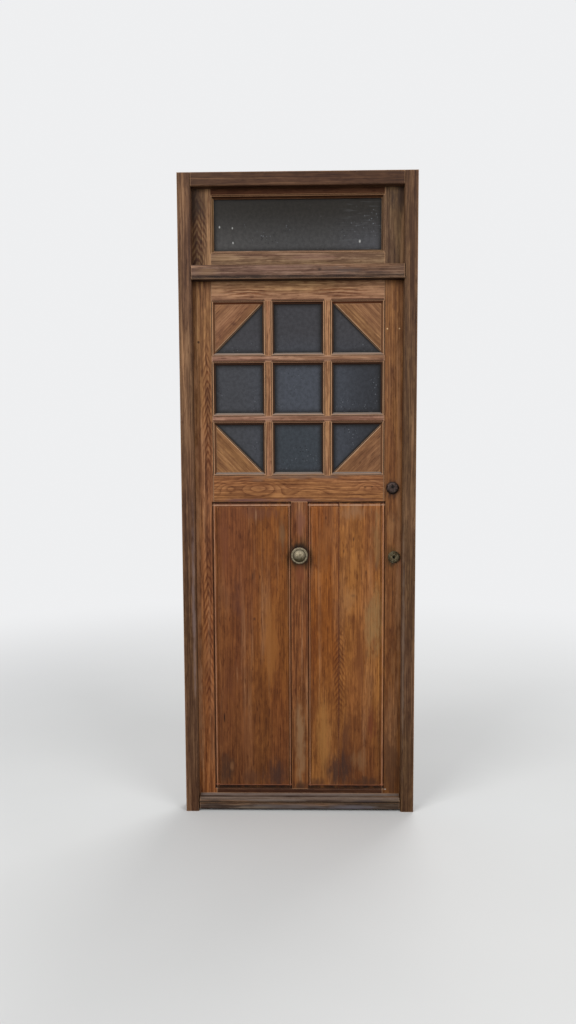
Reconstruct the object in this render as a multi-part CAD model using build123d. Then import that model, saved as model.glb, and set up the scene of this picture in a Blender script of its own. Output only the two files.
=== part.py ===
from build123d import *
from math import hypot
import os

# Glazed entrance door in its timber frame, with a fixed overlight.
# X runs to the right as seen from outside, Y into the house, Z up, in millimetres.
# The origin is midway between the jamb feet, at the sill and at mid-depth of the frame.

# Doorway and frame
clear_width = 800.0
clear_height = 2073.0
frame_face = 50.0
stop_depth = 34.0
rebate_cover = 15.0
leaf_gap = 2.5
arris = 3.0
frame_tenon_thickness = 16.0
frame_tenon_length = 35.0
frame_tenon_inset = 6.0
fixing_radius = 4.25
fixing_head_radius = 8.0
fixing_head_depth = 8.0
fixing_low = 600.0
fixing_high = 1500.0
dowel_radius = 6.0
dowel_depth = 30.0

# Transom
transom_height = 53.0
transom_proud = 6.0
transom_lip_proud = 6.0
transom_lip_height = 7.0
transom_lip_slope = 4.0
transom_nose = 4.0
transom_top_fall = 3.0
transom_cover = 12.0
drip_width = 5.0
drip_depth = 4.0
drip_inset = 8.0

# Leaf and overlight sash
leaf_thickness = 42.0
foot_gap = 8.0
stile_face = 85.0
panel_stile_face = 78.0
top_rail_face = 88.0
lock_rail_face = 103.0
bottom_rail_face = 71.0
muntin_face = 66.0
muntin_x = 3.0
bar_width = 45.0
light_height = 184.0
tenon_depth = 14.0
tenon_thickness = 13.0
rail_tenon_length = 60.0
rail_tenon_inset = 14.0
bar_tenon_length = 20.0
overlight_height = 192.0
overlight_bottom_face = 61.0
overlight_top_face = 36.0
overlight_gap = 1.5

# Glazing
quirk = 1.5
mould_bead = 4.5
mould_cove = 6.0
mould_hollow = 1.5
bead_foot = 2.5
cove_foot = 12.0
glass_depth = 18.0
glass_rebate = 10.0
glass_thickness = 4.0
glass_play = 1.0
bead_chamfer = 4.0

# Lower panels
panel_arris = 4.0
groove_front = 10.0
groove_width = 14.0
groove_depth = 10.0
panel_play = 1.0
panel_outer_margin = 18.0
panel_muntin_margin = 11.0
panel_foot_margin = 12.0
panel_top_margin = 19.0
raised_board_margin = 4.0
seam_board = 121.0
seam_width = 2.0
seam_depth = 1.5
field_front = 2.0
field_bevel = 3.0
field_back = 36.0
back_margin = 25.0

# Corner panels
corner_front = 11.0
corner_back = 34.0
corner_play = 0.3
corner_bevel_width = 7.0
corner_bevel_depth = 5.0

# Weatherboard, from its foot at the leaf's foot
board_height = 54.0
board_end_gap = 4.0
board_slope_reach = 27.0
board_slope_foot = 43.0
board_quirk = 1.5
board_nose_radius = 6.0
board_nose_root = 30.0
board_fascia = 33.0
board_fascia_top = 28.0

# Hinges
hinge_inset = 220.0
knuckle_radius = 6.5
knuckle_length = 55.0
knuckle_stand_off = 7.0
knuckle_chamfer = 1.5
pin_radius = 3.5
pin_clearance = 0.05
pin_floor = 6.0
plate_thickness = 2.0
plate_depth = 28.0
hinge_screw_length = 25.0

# Screws
screw_head_radius = 4.0
screw_shank_radius = 2.0
screw_head_depth = 2.2
screw_slot = 1.0
case_screw_gap = 2.0
sash_screw_length = 60.0

# Pull knob
knob_drop = 206.0
knob_radius = 32.5
knob_projection = 51.0
knob_foot_radius = 18.0
knob_foot_height = 3.0
knob_neck_radius = 9.0
knob_neck_foot = 6.0
knob_neck_top = 21.0
knob_rim_foot = 32.0
knob_rim_top = 40.0
knob_ring_width = 7.5
knob_groove_width = 2.5
knob_groove_depth = 2.5
knob_bolt_radius = 4.0
knob_bolt_play = 1.0
knob_bolt_engagement = 14.0
knob_washer_radius = 14.0
knob_washer_height = 5.0

# Rim locks
case_width = 75.0
case_edge_gap = 3.0
case_depth = 27.0
case_fillet = 3.0
case_screw_inset = 8.0
keep_gap = 1.0
keep_width = 29.0
keep_depth = 24.0
keep_wall = 4.0
bolt_clearance = 0.3
pocket_clearance = 1.5
bolt_front = 8.0
bolt_thickness = 12.0
barrel_radius = 13.0
plug_radius = 6.5
plug_clearance = 0.05
plug_rise = 5.0
plug_reach = 5.0
plug_recess = 1.5
collar_step = 2.0
collar_rim = 3.0
keyway_width = 2.6
keyway_height = 9.0
keyway_depth = 12.0
deadlock_backset = 51.0
deadlock_drop = 50.0
deadlock_half_height = 36.0
deadbolt_height = 18.0
deadbolt_throw = 20.0
deadlock_collar_radius = 24.0
deadlock_collar_height = 11.0
turn_gap = 0.5
turn_spindle_radius = 6.0
turn_disc_radius = 13.0
turn_disc_height = 4.0
turn_grip_length = 34.0
turn_grip_width = 8.0
turn_grip_height = 14.0
latch_backset = 44.0
latch_drop = 217.0
latch_half_height = 46.0
latch_height = 20.0
latch_throw = 14.0
latch_tail = 64.0
latch_collar_radius = 23.5
latch_collar_height = 8.0
latch_key_lean = 50.0
pull_stalk_radius = 3.5
pull_inset = 10.0
pull_radius = 11.0
pull_height = 16.0
pull_lift = 2.0

# Cutters run past the faces that they cut by this much
over = 1.0

# Heights and half widths that follow
clear_half = clear_width / 2
frame_half = clear_half + frame_face
leaf_half = clear_half + rebate_cover
rebate_half = leaf_half + leaf_gap
frame_depth = stop_depth + leaf_thickness
frame_front = -frame_depth / 2
leaf_front = frame_front + stop_depth
leaf_back = leaf_front + leaf_thickness
mould_width = quirk + mould_bead + mould_cove
leaf_foot = foot_gap
leaf_top = clear_height + rebate_cover
flat_half = leaf_half - stile_face
sight_half = flat_half - mould_width
panel_half = leaf_half - panel_stile_face
light_width = (2 * sight_half - 2 * bar_width) / 3
top_rail_foot = leaf_top - top_rail_face
glazing_top = top_rail_foot - mould_width
glazing_foot = glazing_top - 3 * light_height - 2 * bar_width
lock_rail_top = glazing_foot - mould_width
lock_rail_foot = lock_rail_top - lock_rail_face
bottom_rail_top = leaf_foot + bottom_rail_face
transom_top = clear_height + transom_height
sash_half = rebate_half - overlight_gap
sash_foot = transom_top - transom_cover
overlight_foot = sash_foot + overlight_bottom_face + mould_width
overlight_top = overlight_foot + overlight_height
sash_top = overlight_top + mould_width + overlight_top_face
head_foot = sash_top - transom_cover
frame_top = head_foot + frame_face
bar_half = bar_width / 2
core_half = bar_half - glass_rebate
halving_depth = glass_depth + glass_thickness
pin_x = -(leaf_half + rebate_half) / 2
pin_y = leaf_back + knuckle_stand_off
dowel_x = (rebate_half + frame_half) / 2
fixing_y = (leaf_front + leaf_back) / 2
muntin_left = muntin_x - muntin_face / 2
muntin_right = muntin_x + muntin_face / 2
board_seam = muntin_right + seam_board
knob_height = lock_rail_foot - knob_drop
case_outer_edge = leaf_half - case_edge_gap
case_inner_edge = case_outer_edge - case_width
case_screw_length = leaf_thickness - groove_front - groove_width - case_screw_gap
deadlock_x = leaf_half - deadlock_backset
deadlock_z = lock_rail_top - deadlock_drop
latch_x = leaf_half - latch_backset
latch_z = lock_rail_foot - latch_drop
hinge_heights = [
    leaf_foot + hinge_inset,
    (leaf_foot + leaf_top) / 2,
    leaf_top - hinge_inset,
]


# Basic shapes


def block(x0, x1, y0, y1, z0, z1):
    """A box between two values on each axis."""
    centre = ((x0 + x1) / 2, (y0 + y1) / 2, (z0 + z1) / 2)
    return Pos(*centre) * Box(abs(x1 - x0), abs(y1 - y0), abs(z1 - z0))


def slab(outline, depth0, depth1):
    """A front-view outline of (x, z) points, between two depths behind the leaf's outer face."""
    plane = Plane(origin=(0, leaf_front + depth1, 0), x_dir=(1, 0, 0), z_dir=(0, -1, 0))
    return extrude(plane * Polygon(*outline, align=None), amount=depth1 - depth0)


def leaf_block(x0, x1, z0, z1, depth0, depth1):
    """A box given in the front view and by its depths behind the leaf's outer face."""
    return block(x0, x1, leaf_front + depth0, leaf_front + depth1, z0, z1)


def length_along_x(outline, half_length):
    """A side-view outline of (y, z) points, run along X on both sides of the middle."""
    plane = Plane(origin=(-half_length, 0, 0), x_dir=(0, 1, 0), z_dir=(1, 0, 0))
    return extrude(plane * outline, amount=2 * half_length)


def turned(outline, x, y, z, direction):
    """Curves of (radius, height) turned about an axis along Y; height runs along direction."""
    place = Plane(origin=(x, y, z), x_dir=(1, 0, 0), z_dir=(0, 0, direction))
    return place * revolve(make_face(outline), Axis.Y)


def dome(radius, foot, top):
    """The arc of a spherical cap, from its rim to the axis of a turned outline."""
    sphere = (radius**2 + (top - foot) ** 2) / (2 * (top - foot))
    half = radius / 2
    middle = top - sphere + (sphere**2 - half**2) ** 0.5
    return ThreePointArc((radius, foot), (half, middle), (0, top))


def rod_y(x, z, radius, y0, y1):
    """A round rod along Y."""
    place = Plane(origin=(x, y0, z), x_dir=(1, 0, 0), z_dir=(0, 1, 0))
    return place * Cylinder(radius, y1 - y0, align=(Align.CENTER, Align.CENTER, Align.MIN))


def screw(length, place):
    """A slotted countersunk screw with its head's flat on the plane and its point behind it."""
    neck = -screw_head_depth
    outline = Polyline(
        (0, 0),
        (screw_head_radius, 0),
        (screw_shank_radius, neck),
        (screw_shank_radius, -length + screw_shank_radius),
        (0, -length),
        close=True,
    )
    body = revolve(make_face(Plane.XZ * outline), Axis.Z)
    slot = Box(2 * screw_head_radius, screw_slot, screw_slot)
    return place * body, place * (body - slot)


def row_of(screws):
    """The finished screws of a list, for a node of separate solids."""
    return [finished for hole, finished in screws]


def drill(piece, screws):
    """Cuts the place of each screw out of the piece that it holds."""
    for hole, finished in screws:
        piece -= hole
    return piece


# Joinery sections


def light_section(half):
    """Across a glazed opening: quirk, bead and cove outside, straight nib, and rebate inside."""
    edge = half + mould_width
    bead_outer = edge - quirk
    bead_inner = half + mould_cove
    chord = hypot(mould_cove, cove_foot - bead_foot)
    cove_middle = (
        half + mould_cove / 2 + mould_hollow * (cove_foot - bead_foot) / chord,
        (bead_foot + cove_foot) / 2 + mould_hollow * mould_cove / chord,
    )
    side = [
        Line((0, -over), (edge, -over)),
        Line((edge, -over), (edge, bead_foot)),
        Line((edge, bead_foot), (bead_outer, bead_foot)),
        ThreePointArc(
            (bead_outer, bead_foot),
            ((bead_outer + bead_inner) / 2, bead_foot - mould_bead / 2),
            (bead_inner, bead_foot),
        ),
        ThreePointArc((bead_inner, bead_foot), cove_middle, (half, cove_foot)),
        Line((half, cove_foot), (half, glass_depth)),
        Line((half, glass_depth), (half + glass_rebate, glass_depth)),
        Line((half + glass_rebate, glass_depth), (half + glass_rebate, leaf_thickness + over)),
        Line((half + glass_rebate, leaf_thickness + over), (0, leaf_thickness + over)),
        Line((0, leaf_thickness + over), (0, -over)),
    ]
    right = make_face(side)
    return right + mirror(right, Plane.YZ)


def panel_section(half):
    """Across a panelled opening: rounded arris outside, and the groove that holds the panel."""
    groove_back = groove_front + groove_width
    bend = panel_arris * (1 - 0.5**0.5)
    side = [
        Line((0, -over), (half + panel_arris, -over)),
        Line((half + panel_arris, -over), (half + panel_arris, 0)),
        ThreePointArc((half + panel_arris, 0), (half + bend, bend), (half, panel_arris)),
        Line((half, panel_arris), (half, groove_front)),
        Line((half, groove_front), (half + groove_depth, groove_front)),
        Line((half + groove_depth, groove_front), (half + groove_depth, groove_back)),
        Line((half + groove_depth, groove_back), (0, groove_back)),
        Line((0, groove_back), (0, -over)),
    ]
    right = make_face(side)
    return right + mirror(right, Plane.YZ)


def bead_section(half):
    """Across the hole in a ring of beads, with the inner arris chamfered."""
    flare = leaf_thickness - bead_chamfer
    points = [
        (half, halving_depth - over),
        (half, flare),
        (half + bead_chamfer + over, leaf_thickness + over),
        (-half - bead_chamfer - over, leaf_thickness + over),
        (-half, flare),
        (-half, halving_depth - over),
    ]
    return Polygon(*points, align=None)


def mitred_cutter(section, light):
    """What both sections of a rectangular opening share, so that its profile is mitred in the corners."""
    x0, x1, z0, z1 = light
    reach = 2 * (mould_width + over)
    upright = Plane(
        origin=((x0 + x1) / 2, leaf_front, z0 - reach), x_dir=(1, 0, 0), z_dir=(0, 0, 1)
    )
    level = Plane(
        origin=(x1 + reach, leaf_front, (z0 + z1) / 2), x_dir=(0, 0, 1), z_dir=(-1, 0, 0)
    )
    across = extrude(upright * section((x1 - x0) / 2), amount=z1 - z0 + 2 * reach)
    along = extrude(level * section((z1 - z0) / 2), amount=x1 - x0 + 2 * reach)
    return across & along


def grown(light, amount):
    """A light's outline moved outwards on all sides."""
    x0, x1, z0, z1 = light
    return x0 - amount, x1 + amount, z0 - amount, z1 + amount


def corners(light):
    """The four corners of a light, anticlockwise from the lower left."""
    x0, x1, z0, z1 = light
    return [(x0, z0), (x1, z0), (x1, z1), (x0, z1)]


# Places of the lights and panels in the front view


def light_at(column, row):
    """Sight lines of a light; columns run left to right and rows from the foot up."""
    x0 = -sight_half + column * (light_width + bar_width)
    z0 = glazing_foot + row * (light_height + bar_width)
    return x0, x0 + light_width, z0, z0 + light_height


leaf_lights = [light_at(column, row) for row in range(3) for column in range(3)]
overlight = (-sight_half, sight_half, overlight_foot, overlight_top)
left_panel_opening = (-panel_half, muntin_left, bottom_rail_top, lock_rail_foot)
right_panel_opening = (muntin_right, panel_half, bottom_rail_top, lock_rail_foot)
bar_columns = [light_at(column, 0)[1] + bar_half for column in (0, 1)]
bar_rows = [light_at(0, row)[3] + bar_half for row in (0, 1)]


# Raw members: what enters another member keeps its tongues and tenons


def mitred_strip(centre, start, end, swap):
    """A bar's front between two sight lines, with a mitred tongue past each."""
    tip = bar_half - mould_width
    points = [
        (centre - tip, start - mould_width),
        (centre + tip, start - mould_width),
        (centre + bar_half, start),
        (centre + bar_half, end),
        (centre + tip, end + mould_width),
        (centre - tip, end + mould_width),
        (centre - bar_half, end),
        (centre - bar_half, start),
    ]
    if swap:
        points = [(v, u) for u, v in reversed(points)]
    return slab(points, 0, halving_depth)


def upright_bar_raw(centre):
    """A glazing bar from the lock rail to the top rail, whole behind and broken in front."""
    back = leaf_block(
        centre - core_half, centre + core_half, glazing_foot - glass_rebate,
        glazing_top + glass_rebate, halving_depth, leaf_thickness,
    )
    tenons = leaf_block(
        centre - core_half, centre + core_half,
        glazing_foot - glass_rebate - bar_tenon_length,
        glazing_top + glass_rebate + bar_tenon_length,
        halving_depth, halving_depth + tenon_thickness,
    )
    bar = back + tenons
    for row in range(3):
        light = light_at(0, row)
        bar += mitred_strip(centre, light[2], light[3], False)
    return bar


def cross_bar_raw(centre):
    """A glazing bar from stile to stile, before the uprights are let into it."""
    edge = sight_half + glass_rebate
    low, high = centre - core_half, centre + core_half
    back = leaf_block(-edge, edge, low, high, halving_depth, leaf_thickness)
    tenon_end = edge + bar_tenon_length
    tenon_back = halving_depth + tenon_thickness
    tenons = leaf_block(-tenon_end, tenon_end, low, high, halving_depth, tenon_back)
    return back + tenons + mitred_strip(centre, -sight_half, sight_half, True)


def rail_tenons(z0, z1, shoulder):
    """One long block that makes the tenons at both ends of a rail."""
    end = shoulder + rail_tenon_length
    tenon_back = tenon_depth + tenon_thickness
    return leaf_block(
        -end, end, z0 + rail_tenon_inset, z1 - rail_tenon_inset, tenon_depth, tenon_back
    )


def top_rail_raw():
    """The leaf's top rail, mitred into the stiles' moulding."""
    outline = [
        (-sight_half, glazing_top),
        (sight_half, glazing_top),
        (flat_half, top_rail_foot),
        (flat_half, leaf_top),
        (-flat_half, leaf_top),
        (-flat_half, top_rail_foot),
    ]
    return slab(outline, 0, leaf_thickness) + rail_tenons(top_rail_foot, leaf_top, flat_half)


def lock_rail_raw():
    """The rail between the lights and the panels."""
    outline = [
        (-flat_half, lock_rail_foot),
        (flat_half, lock_rail_foot),
        (flat_half, lock_rail_top),
        (sight_half, glazing_foot),
        (-sight_half, glazing_foot),
        (-flat_half, lock_rail_top),
    ]
    return slab(outline, 0, leaf_thickness) + rail_tenons(lock_rail_foot, lock_rail_top, flat_half)


def bottom_rail_raw():
    """The rail at the leaf's foot."""
    body = leaf_block(-flat_half, flat_half, leaf_foot, bottom_rail_top, 0, leaf_thickness)
    return body + rail_tenons(leaf_foot, bottom_rail_top, flat_half)


def muntin_raw():
    """The upright between the two panels."""
    inset = groove_depth + panel_play
    end = groove_depth + rail_tenon_inset
    body = leaf_block(
        muntin_left, muntin_right, bottom_rail_top, lock_rail_foot, 0, leaf_thickness
    )
    tenons = leaf_block(
        muntin_left + inset, muntin_right - inset, bottom_rail_top - end, lock_rail_foot + end,
        tenon_depth, tenon_depth + tenon_thickness,
    )
    return body + tenons


def stile_raw(side):
    """A stile over the whole height, with the moulding's strip beside the lights."""
    outline = [
        (side * leaf_half, leaf_foot),
        (side * flat_half, leaf_foot),
        (side * flat_half, lock_rail_top),
        (side * sight_half, glazing_foot),
        (side * sight_half, glazing_top),
        (side * flat_half, top_rail_foot),
        (side * flat_half, leaf_top),
        (side * leaf_half, leaf_top),
    ]
    return slab(outline if side < 0 else outline[::-1], 0, leaf_thickness)


# The leaf's joinery


def leaf_members():
    """All members of the leaf, each let into the next and cut by the same openings."""
    uprights = [upright_bar_raw(centre) for centre in bar_columns]
    cross_bars = [cross_bar_raw(centre) for centre in bar_rows]
    muntin = muntin_raw()
    rails = {
        "leaf_top_rail": (top_rail_raw(), uprights),
        "leaf_lock_rail": (lock_rail_raw(), uprights + [muntin]),
        "leaf_bottom_rail": (bottom_rail_raw(), [muntin]),
        "glazing_bar_cross_lower": (cross_bars[0], uprights),
        "glazing_bar_cross_upper": (cross_bars[1], uprights),
    }
    entering_stiles = [raw for raw, entering in rails.values()]
    members = {
        "leaf_stile_hinge_side": (stile_raw(-1), entering_stiles),
        "leaf_stile_lock_side": (stile_raw(1), entering_stiles),
        "leaf_muntin": (muntin, []),
        "glazing_bar_upright_left": (uprights[0], []),
        "glazing_bar_upright_right": (uprights[1], []),
        **rails,
    }
    openings = [mitred_cutter(light_section, light) for light in leaf_lights]
    for opening in (left_panel_opening, right_panel_opening):
        openings.append(mitred_cutter(panel_section, opening))
    finished = {}
    for name, (raw, entering) in members.items():
        finished[name] = raw - entering - openings
    return finished


def overlight_members():
    """The fixed sash above the transom."""
    foot_flat = overlight_foot - mould_width
    top_flat = overlight_top + mould_width
    low_outline = [
        (-flat_half, sash_foot),
        (flat_half, sash_foot),
        (flat_half, foot_flat),
        (sight_half, overlight_foot),
        (-sight_half, overlight_foot),
        (-flat_half, foot_flat),
    ]
    top_outline = [
        (-sight_half, overlight_top),
        (sight_half, overlight_top),
        (flat_half, top_flat),
        (flat_half, sash_top),
        (-flat_half, sash_top),
        (-flat_half, top_flat),
    ]
    inset = overlight_top_face / 4
    tenon_end = flat_half + rail_tenon_length
    tenon_back = tenon_depth + tenon_thickness
    rails = {
        "overlight_bottom_rail": slab(low_outline, 0, leaf_thickness)
        + leaf_block(
            -tenon_end, tenon_end, sash_foot + inset, foot_flat - inset, tenon_depth, tenon_back
        ),
        "overlight_top_rail": slab(top_outline, 0, leaf_thickness)
        + leaf_block(
            -tenon_end, tenon_end, top_flat + inset, sash_top - inset, tenon_depth, tenon_back
        ),
    }
    opening = mitred_cutter(light_section, overlight)
    members = {name: raw - opening for name, raw in rails.items()}
    for side, name in ((-1, "overlight_stile_left"), (1, "overlight_stile_right")):
        outline = [
            (side * sash_half, sash_foot),
            (side * flat_half, sash_foot),
            (side * flat_half, foot_flat),
            (side * sight_half, overlight_foot),
            (side * sight_half, overlight_top),
            (side * flat_half, top_flat),
            (side * flat_half, sash_top),
            (side * sash_half, sash_top),
        ]
        raw = slab(outline if side < 0 else outline[::-1], 0, leaf_thickness)
        members[name] = raw - list(rails.values()) - opening
    return members


# Glass, beads and the wooden corners


def pane(light):
    """A rectangular pane, seated in the rebate on all sides."""
    x0, x1, z0, z1 = grown(light, glass_rebate - glass_play)
    return leaf_block(x0, x1, z0, z1, glass_depth, halving_depth)


def bead_ring(light):
    """Four mitred beads that hold a pane from inside."""
    outer = grown(light, glass_rebate)
    x0, x1, z0, z1 = outer
    ring = leaf_block(x0, x1, z0, z1, halving_depth, leaf_thickness)
    ring -= mitred_cutter(bead_section, light)
    beads = []
    outer_corners = corners(outer)
    inner_corners = corners(light)
    for i in range(4):
        j = (i + 1) % 4
        sector = [outer_corners[i], outer_corners[j], inner_corners[j], inner_corners[i]]
        beads += (ring & slab(sector, halving_depth, leaf_thickness)).solids()
    return beads


def corner_frame(column, row):
    """The diagonal of a corner light: its light, start, direction and the normal towards the wood."""
    light = light_at(column, row)
    x0, x1, z0, z1 = light
    inner_x, outer_x = (x1, x0) if column == 0 else (x0, x1)
    inner_z, outer_z = (z1, z0) if row == 0 else (z0, z1)
    length = hypot(light_width, light_height)
    along = ((outer_x - inner_x) / length, (inner_z - outer_z) / length)
    normal = (along[1], -along[0])
    if normal[0] * (outer_x - inner_x) < 0:
        normal = (-normal[0], -normal[1])
    return light, (inner_x, outer_z), along, normal


def half_plane(start, along, normal, near, far):
    """A long strip beside the diagonal, between two distances towards the wood."""
    reach = light_width + light_height
    points = []
    for run, rise in ((-reach, near), (2 * reach, near), (2 * reach, far), (-reach, far)):
        points.append(
            (
                start[0] + along[0] * run + normal[0] * rise,
                start[1] + along[1] * run + normal[1] * rise,
            )
        )
    if along[0] * normal[1] - along[1] * normal[0] < 0:
        points.reverse()
    return points


def diagonal_prism(start, along, normal, section):
    """A small section of (towards the wood, depth) points, run along the diagonal."""
    reach = light_width + light_height
    origin = (start[0] - along[0] * reach, leaf_front, start[1] - along[1] * reach)
    across = Vector(normal[0], 0, normal[1])
    run = Vector(along[0], 0, along[1])
    plane = Plane(origin=origin, x_dir=across, z_dir=run)
    sense = plane.y_dir.Y
    outline = [(u, sense * v) for u, v in section]
    if sense < 0:
        outline.reverse()
    return extrude(plane * Polygon(*outline, align=None), amount=3 * reach)


def corner_panel(column, row):
    """A wooden triangle in the outer half of a corner light, rebated for the glass."""
    light, start, along, normal = corner_frame(column, row)
    far = light_width + light_height
    lip_zone = half_plane(start, along, normal, 0, far)
    body_zone = half_plane(start, along, normal, glass_rebate, far)
    inside = corners(grown(light, -corner_play))
    seated = corners(grown(light, glass_rebate - glass_play))
    lip = slab(inside, corner_front, glass_depth) & slab(lip_zone, corner_front, glass_depth)
    tongue = slab(seated, glass_depth, halving_depth) & slab(body_zone, glass_depth, halving_depth)
    body = slab(inside, glass_depth, corner_back) & slab(body_zone, glass_depth, corner_back)
    panel = lip + tongue + body
    bevel = [
        (-over, corner_front - over),
        (corner_bevel_width, corner_front - over),
        (corner_bevel_width, corner_front),
        (0, corner_front + corner_bevel_depth),
        (-over, corner_front + corner_bevel_depth),
    ]
    return panel - diagonal_prism(start, along, normal, bevel)


def corner_pane(column, row):
    """The triangular pane that fills the inner half of a corner light."""
    light, start, along, normal = corner_frame(column, row)
    far = light_width + light_height
    zone = half_plane(start, along, normal, -far, glass_rebate - glass_play)
    seat = corners(grown(light, glass_rebate - glass_play))
    return slab(seat, glass_depth, halving_depth) & slab(zone, glass_depth, halving_depth)


def corner_bead(column, row):
    """The bead behind the diagonal edge of a triangular pane."""
    light, start, along, normal = corner_frame(column, row)
    zone = slab(half_plane(start, along, normal, 0, glass_rebate), halving_depth, leaf_thickness)
    return (zone & slab(corners(light), halving_depth, leaf_thickness)).solids()


def glazing():
    """Panes, corner panels and beads of the leaf and of the overlight."""
    rows = ("lower", "middle", "upper")
    columns = ("left", "centre", "right")
    pieces = {}
    beads = []
    for row, row_name in enumerate(rows):
        for column, column_name in enumerate(columns):
            light = light_at(column, row)
            beads += bead_ring(light)
            name = f"pane_{row_name}_{column_name}"
            if row != 1 and column != 1:
                pieces[name] = corner_pane(column, row)
                pieces[f"corner_panel_{row_name}_{column_name}"] = corner_panel(column, row)
                beads += corner_bead(column, row)
            else:
                pieces[name] = pane(light)
    pieces["leaf_glazing_beads"] = Compound(children=beads)
    pieces["overlight_pane"] = pane(overlight)
    pieces["overlight_glazing_beads"] = Compound(children=bead_ring(overlight))
    return pieces


# Lower panels


def raised_field(x0, x1, z0, z1):
    """The raised middle of a panel's outer face, with a bevelled edge."""
    field = leaf_block(x0, x1, z0, z1, field_front, groove_front)
    front = field.faces().sort_by(Axis.Y)[0]
    return chamfer(front.edges(), field_bevel)


def lower_panel(opening, left_margin, right_margin, seam):
    """A panel held in the grooves, fielded on both faces; seam splits it into two boards."""
    x0, x1, z0, z1 = opening
    held = grown(opening, groove_depth - panel_play)
    panel = leaf_block(*held, groove_front, groove_front + groove_width)
    left, right = x0 + left_margin, x1 - right_margin
    foot, top = z0 + panel_foot_margin, z1 - panel_top_margin
    if seam is None:
        panel += raised_field(left, right, foot, top)
    else:
        gap = seam_width / 2
        panel += raised_field(left, seam - gap, foot, top)
        panel += raised_field(seam + gap, right, foot, z1 - raised_board_margin)
        joint = leaf_block(
            seam - 2 * gap, seam + 2 * gap, foot + field_bevel, top - field_bevel,
            field_front + seam_depth, groove_front,
        )
        panel += joint
    back = grown(opening, -back_margin)
    inside = leaf_block(*back, groove_front + groove_width, field_back)
    rear = inside.faces().sort_by(Axis.Y)[-1]
    return panel + chamfer(rear.edges(), field_bevel)


# Weatherboard


def weatherboard():
    """The moulded board across the leaf's foot that throws rain clear of the sill."""
    foot = leaf_foot
    nose_top = foot + board_slope_foot - board_quirk
    nose_foot = nose_top - 2 * board_nose_radius
    root = board_nose_root
    fascia_top = foot + board_fascia_top
    curves = [
        Polyline(
            (0, foot),
            (0, foot + board_height),
            (-board_slope_reach, foot + board_slope_foot),
            (-board_slope_reach, nose_top),
            (-root, nose_top),
        ),
        ThreePointArc(
            (-root, nose_top),
            (-root - board_nose_radius, nose_top - board_nose_radius),
            (-root, nose_foot),
        ),
        Polyline(
            (-root, nose_foot),
            (-root, fascia_top),
            (-board_fascia, fascia_top),
            (-board_fascia, foot + arris),
            (-board_fascia + arris, foot),
            (-board_fascia + drip_inset, foot),
            (-board_fascia + drip_inset, foot + drip_depth),
            (-board_fascia + drip_inset + drip_width, foot + drip_depth),
            (-board_fascia + drip_inset + drip_width, foot),
            (0, foot),
        ),
    ]
    outline = Pos(leaf_front, 0) * make_face(curves)
    return length_along_x(outline, clear_half - board_end_gap)


# Frame


def transom_raw():
    """The rail between the leaf and the overlight, with a drip lip and two rebates."""
    lip = -transom_proud - transom_lip_proud
    front = frame_front
    foot = clear_height
    drip = front + lip + drip_inset
    outline = Polyline(
        (leaf_front, foot),
        (drip + drip_width, foot),
        (drip + drip_width, foot + drip_depth),
        (drip, foot + drip_depth),
        (drip, foot),
        (front + lip, foot),
        (front + lip, foot + transom_lip_height),
        (front - transom_proud, foot + transom_lip_height + transom_lip_slope),
        (front - transom_proud, transom_top - transom_nose),
        (front - transom_proud + transom_nose, transom_top),
        (leaf_front, transom_top + transom_top_fall),
        close=True,
    )
    body = length_along_x(make_face(outline), clear_half)
    rebated = block(
        -rebate_half, rebate_half, leaf_front, leaf_back, leaf_top + leaf_gap, sash_foot
    )
    return body + rebated + frame_tenons(foot, transom_top)


def frame_tenons(z0, z1):
    """One long block that makes the tenons at both ends of the head or the transom."""
    end = clear_half + frame_tenon_length
    return block(
        -end, end, leaf_front - frame_tenon_thickness, leaf_front,
        z0 + frame_tenon_inset, z1 - frame_tenon_inset,
    )


def head_raw():
    """The frame's head, rebated for the overlight."""
    outline = Polyline(
        (leaf_front, head_foot),
        (frame_front + arris, head_foot),
        (frame_front, head_foot + arris),
        (frame_front, frame_top),
        (leaf_front, frame_top),
        close=True,
    )
    body = length_along_x(make_face(outline), clear_half)
    rebated = block(
        -rebate_half, rebate_half, leaf_front, leaf_back, sash_top + overlight_gap, frame_top
    )
    return body + rebated + frame_tenons(head_foot, frame_top)


def jamb_raw(side):
    """A rebated jamb with its dowel hole in the foot and its two fixing holes."""
    section = [
        (side * frame_half, frame_front),
        (side * (clear_half + arris), frame_front),
        (side * clear_half, frame_front + arris),
        (side * clear_half, leaf_front),
        (side * rebate_half, leaf_front),
        (side * rebate_half, leaf_back),
        (side * frame_half, leaf_back),
    ]
    if side > 0:
        section.reverse()
    jamb = extrude(Polygon(*section, align=None), amount=frame_top)
    jamb -= Pos(side * dowel_x, 0, dowel_depth / 2) * Cylinder(dowel_radius, dowel_depth)
    middle = (rebate_half + frame_half) / 2
    for height in (fixing_low, fixing_high):
        at = Pos(side * middle, fixing_y, height) * Rot(0, 90, 0)
        jamb -= at * Cylinder(fixing_radius, frame_face)
        head = Pos(side * (rebate_half + fixing_head_depth / 2), fixing_y, height) * Rot(0, 90, 0)
        jamb -= head * Cylinder(fixing_head_radius, fixing_head_depth)
    return jamb


# Hinges


def hinge_half(z0, plate_x, bore_radius, bore_from, bore_to, direction):
    """One knuckle with its plate; direction is the side of the pin that the plate is on."""
    z1 = z0 + knuckle_length
    knuckle = Pos(pin_x, pin_y, (z0 + z1) / 2) * Cylinder(knuckle_radius, knuckle_length)
    rims = knuckle.edges().filter_by(GeomType.CIRCLE).sort_by(Axis.Z)
    knuckle = chamfer(rims[0] if bore_from > z0 else rims[-1], knuckle_chamfer)
    plate = hinge_plate(z0, plate_x, direction)
    bore = Pos(pin_x, pin_y, (bore_from + bore_to) / 2) * Cylinder(bore_radius, bore_to - bore_from)
    return knuckle + plate - bore


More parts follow.
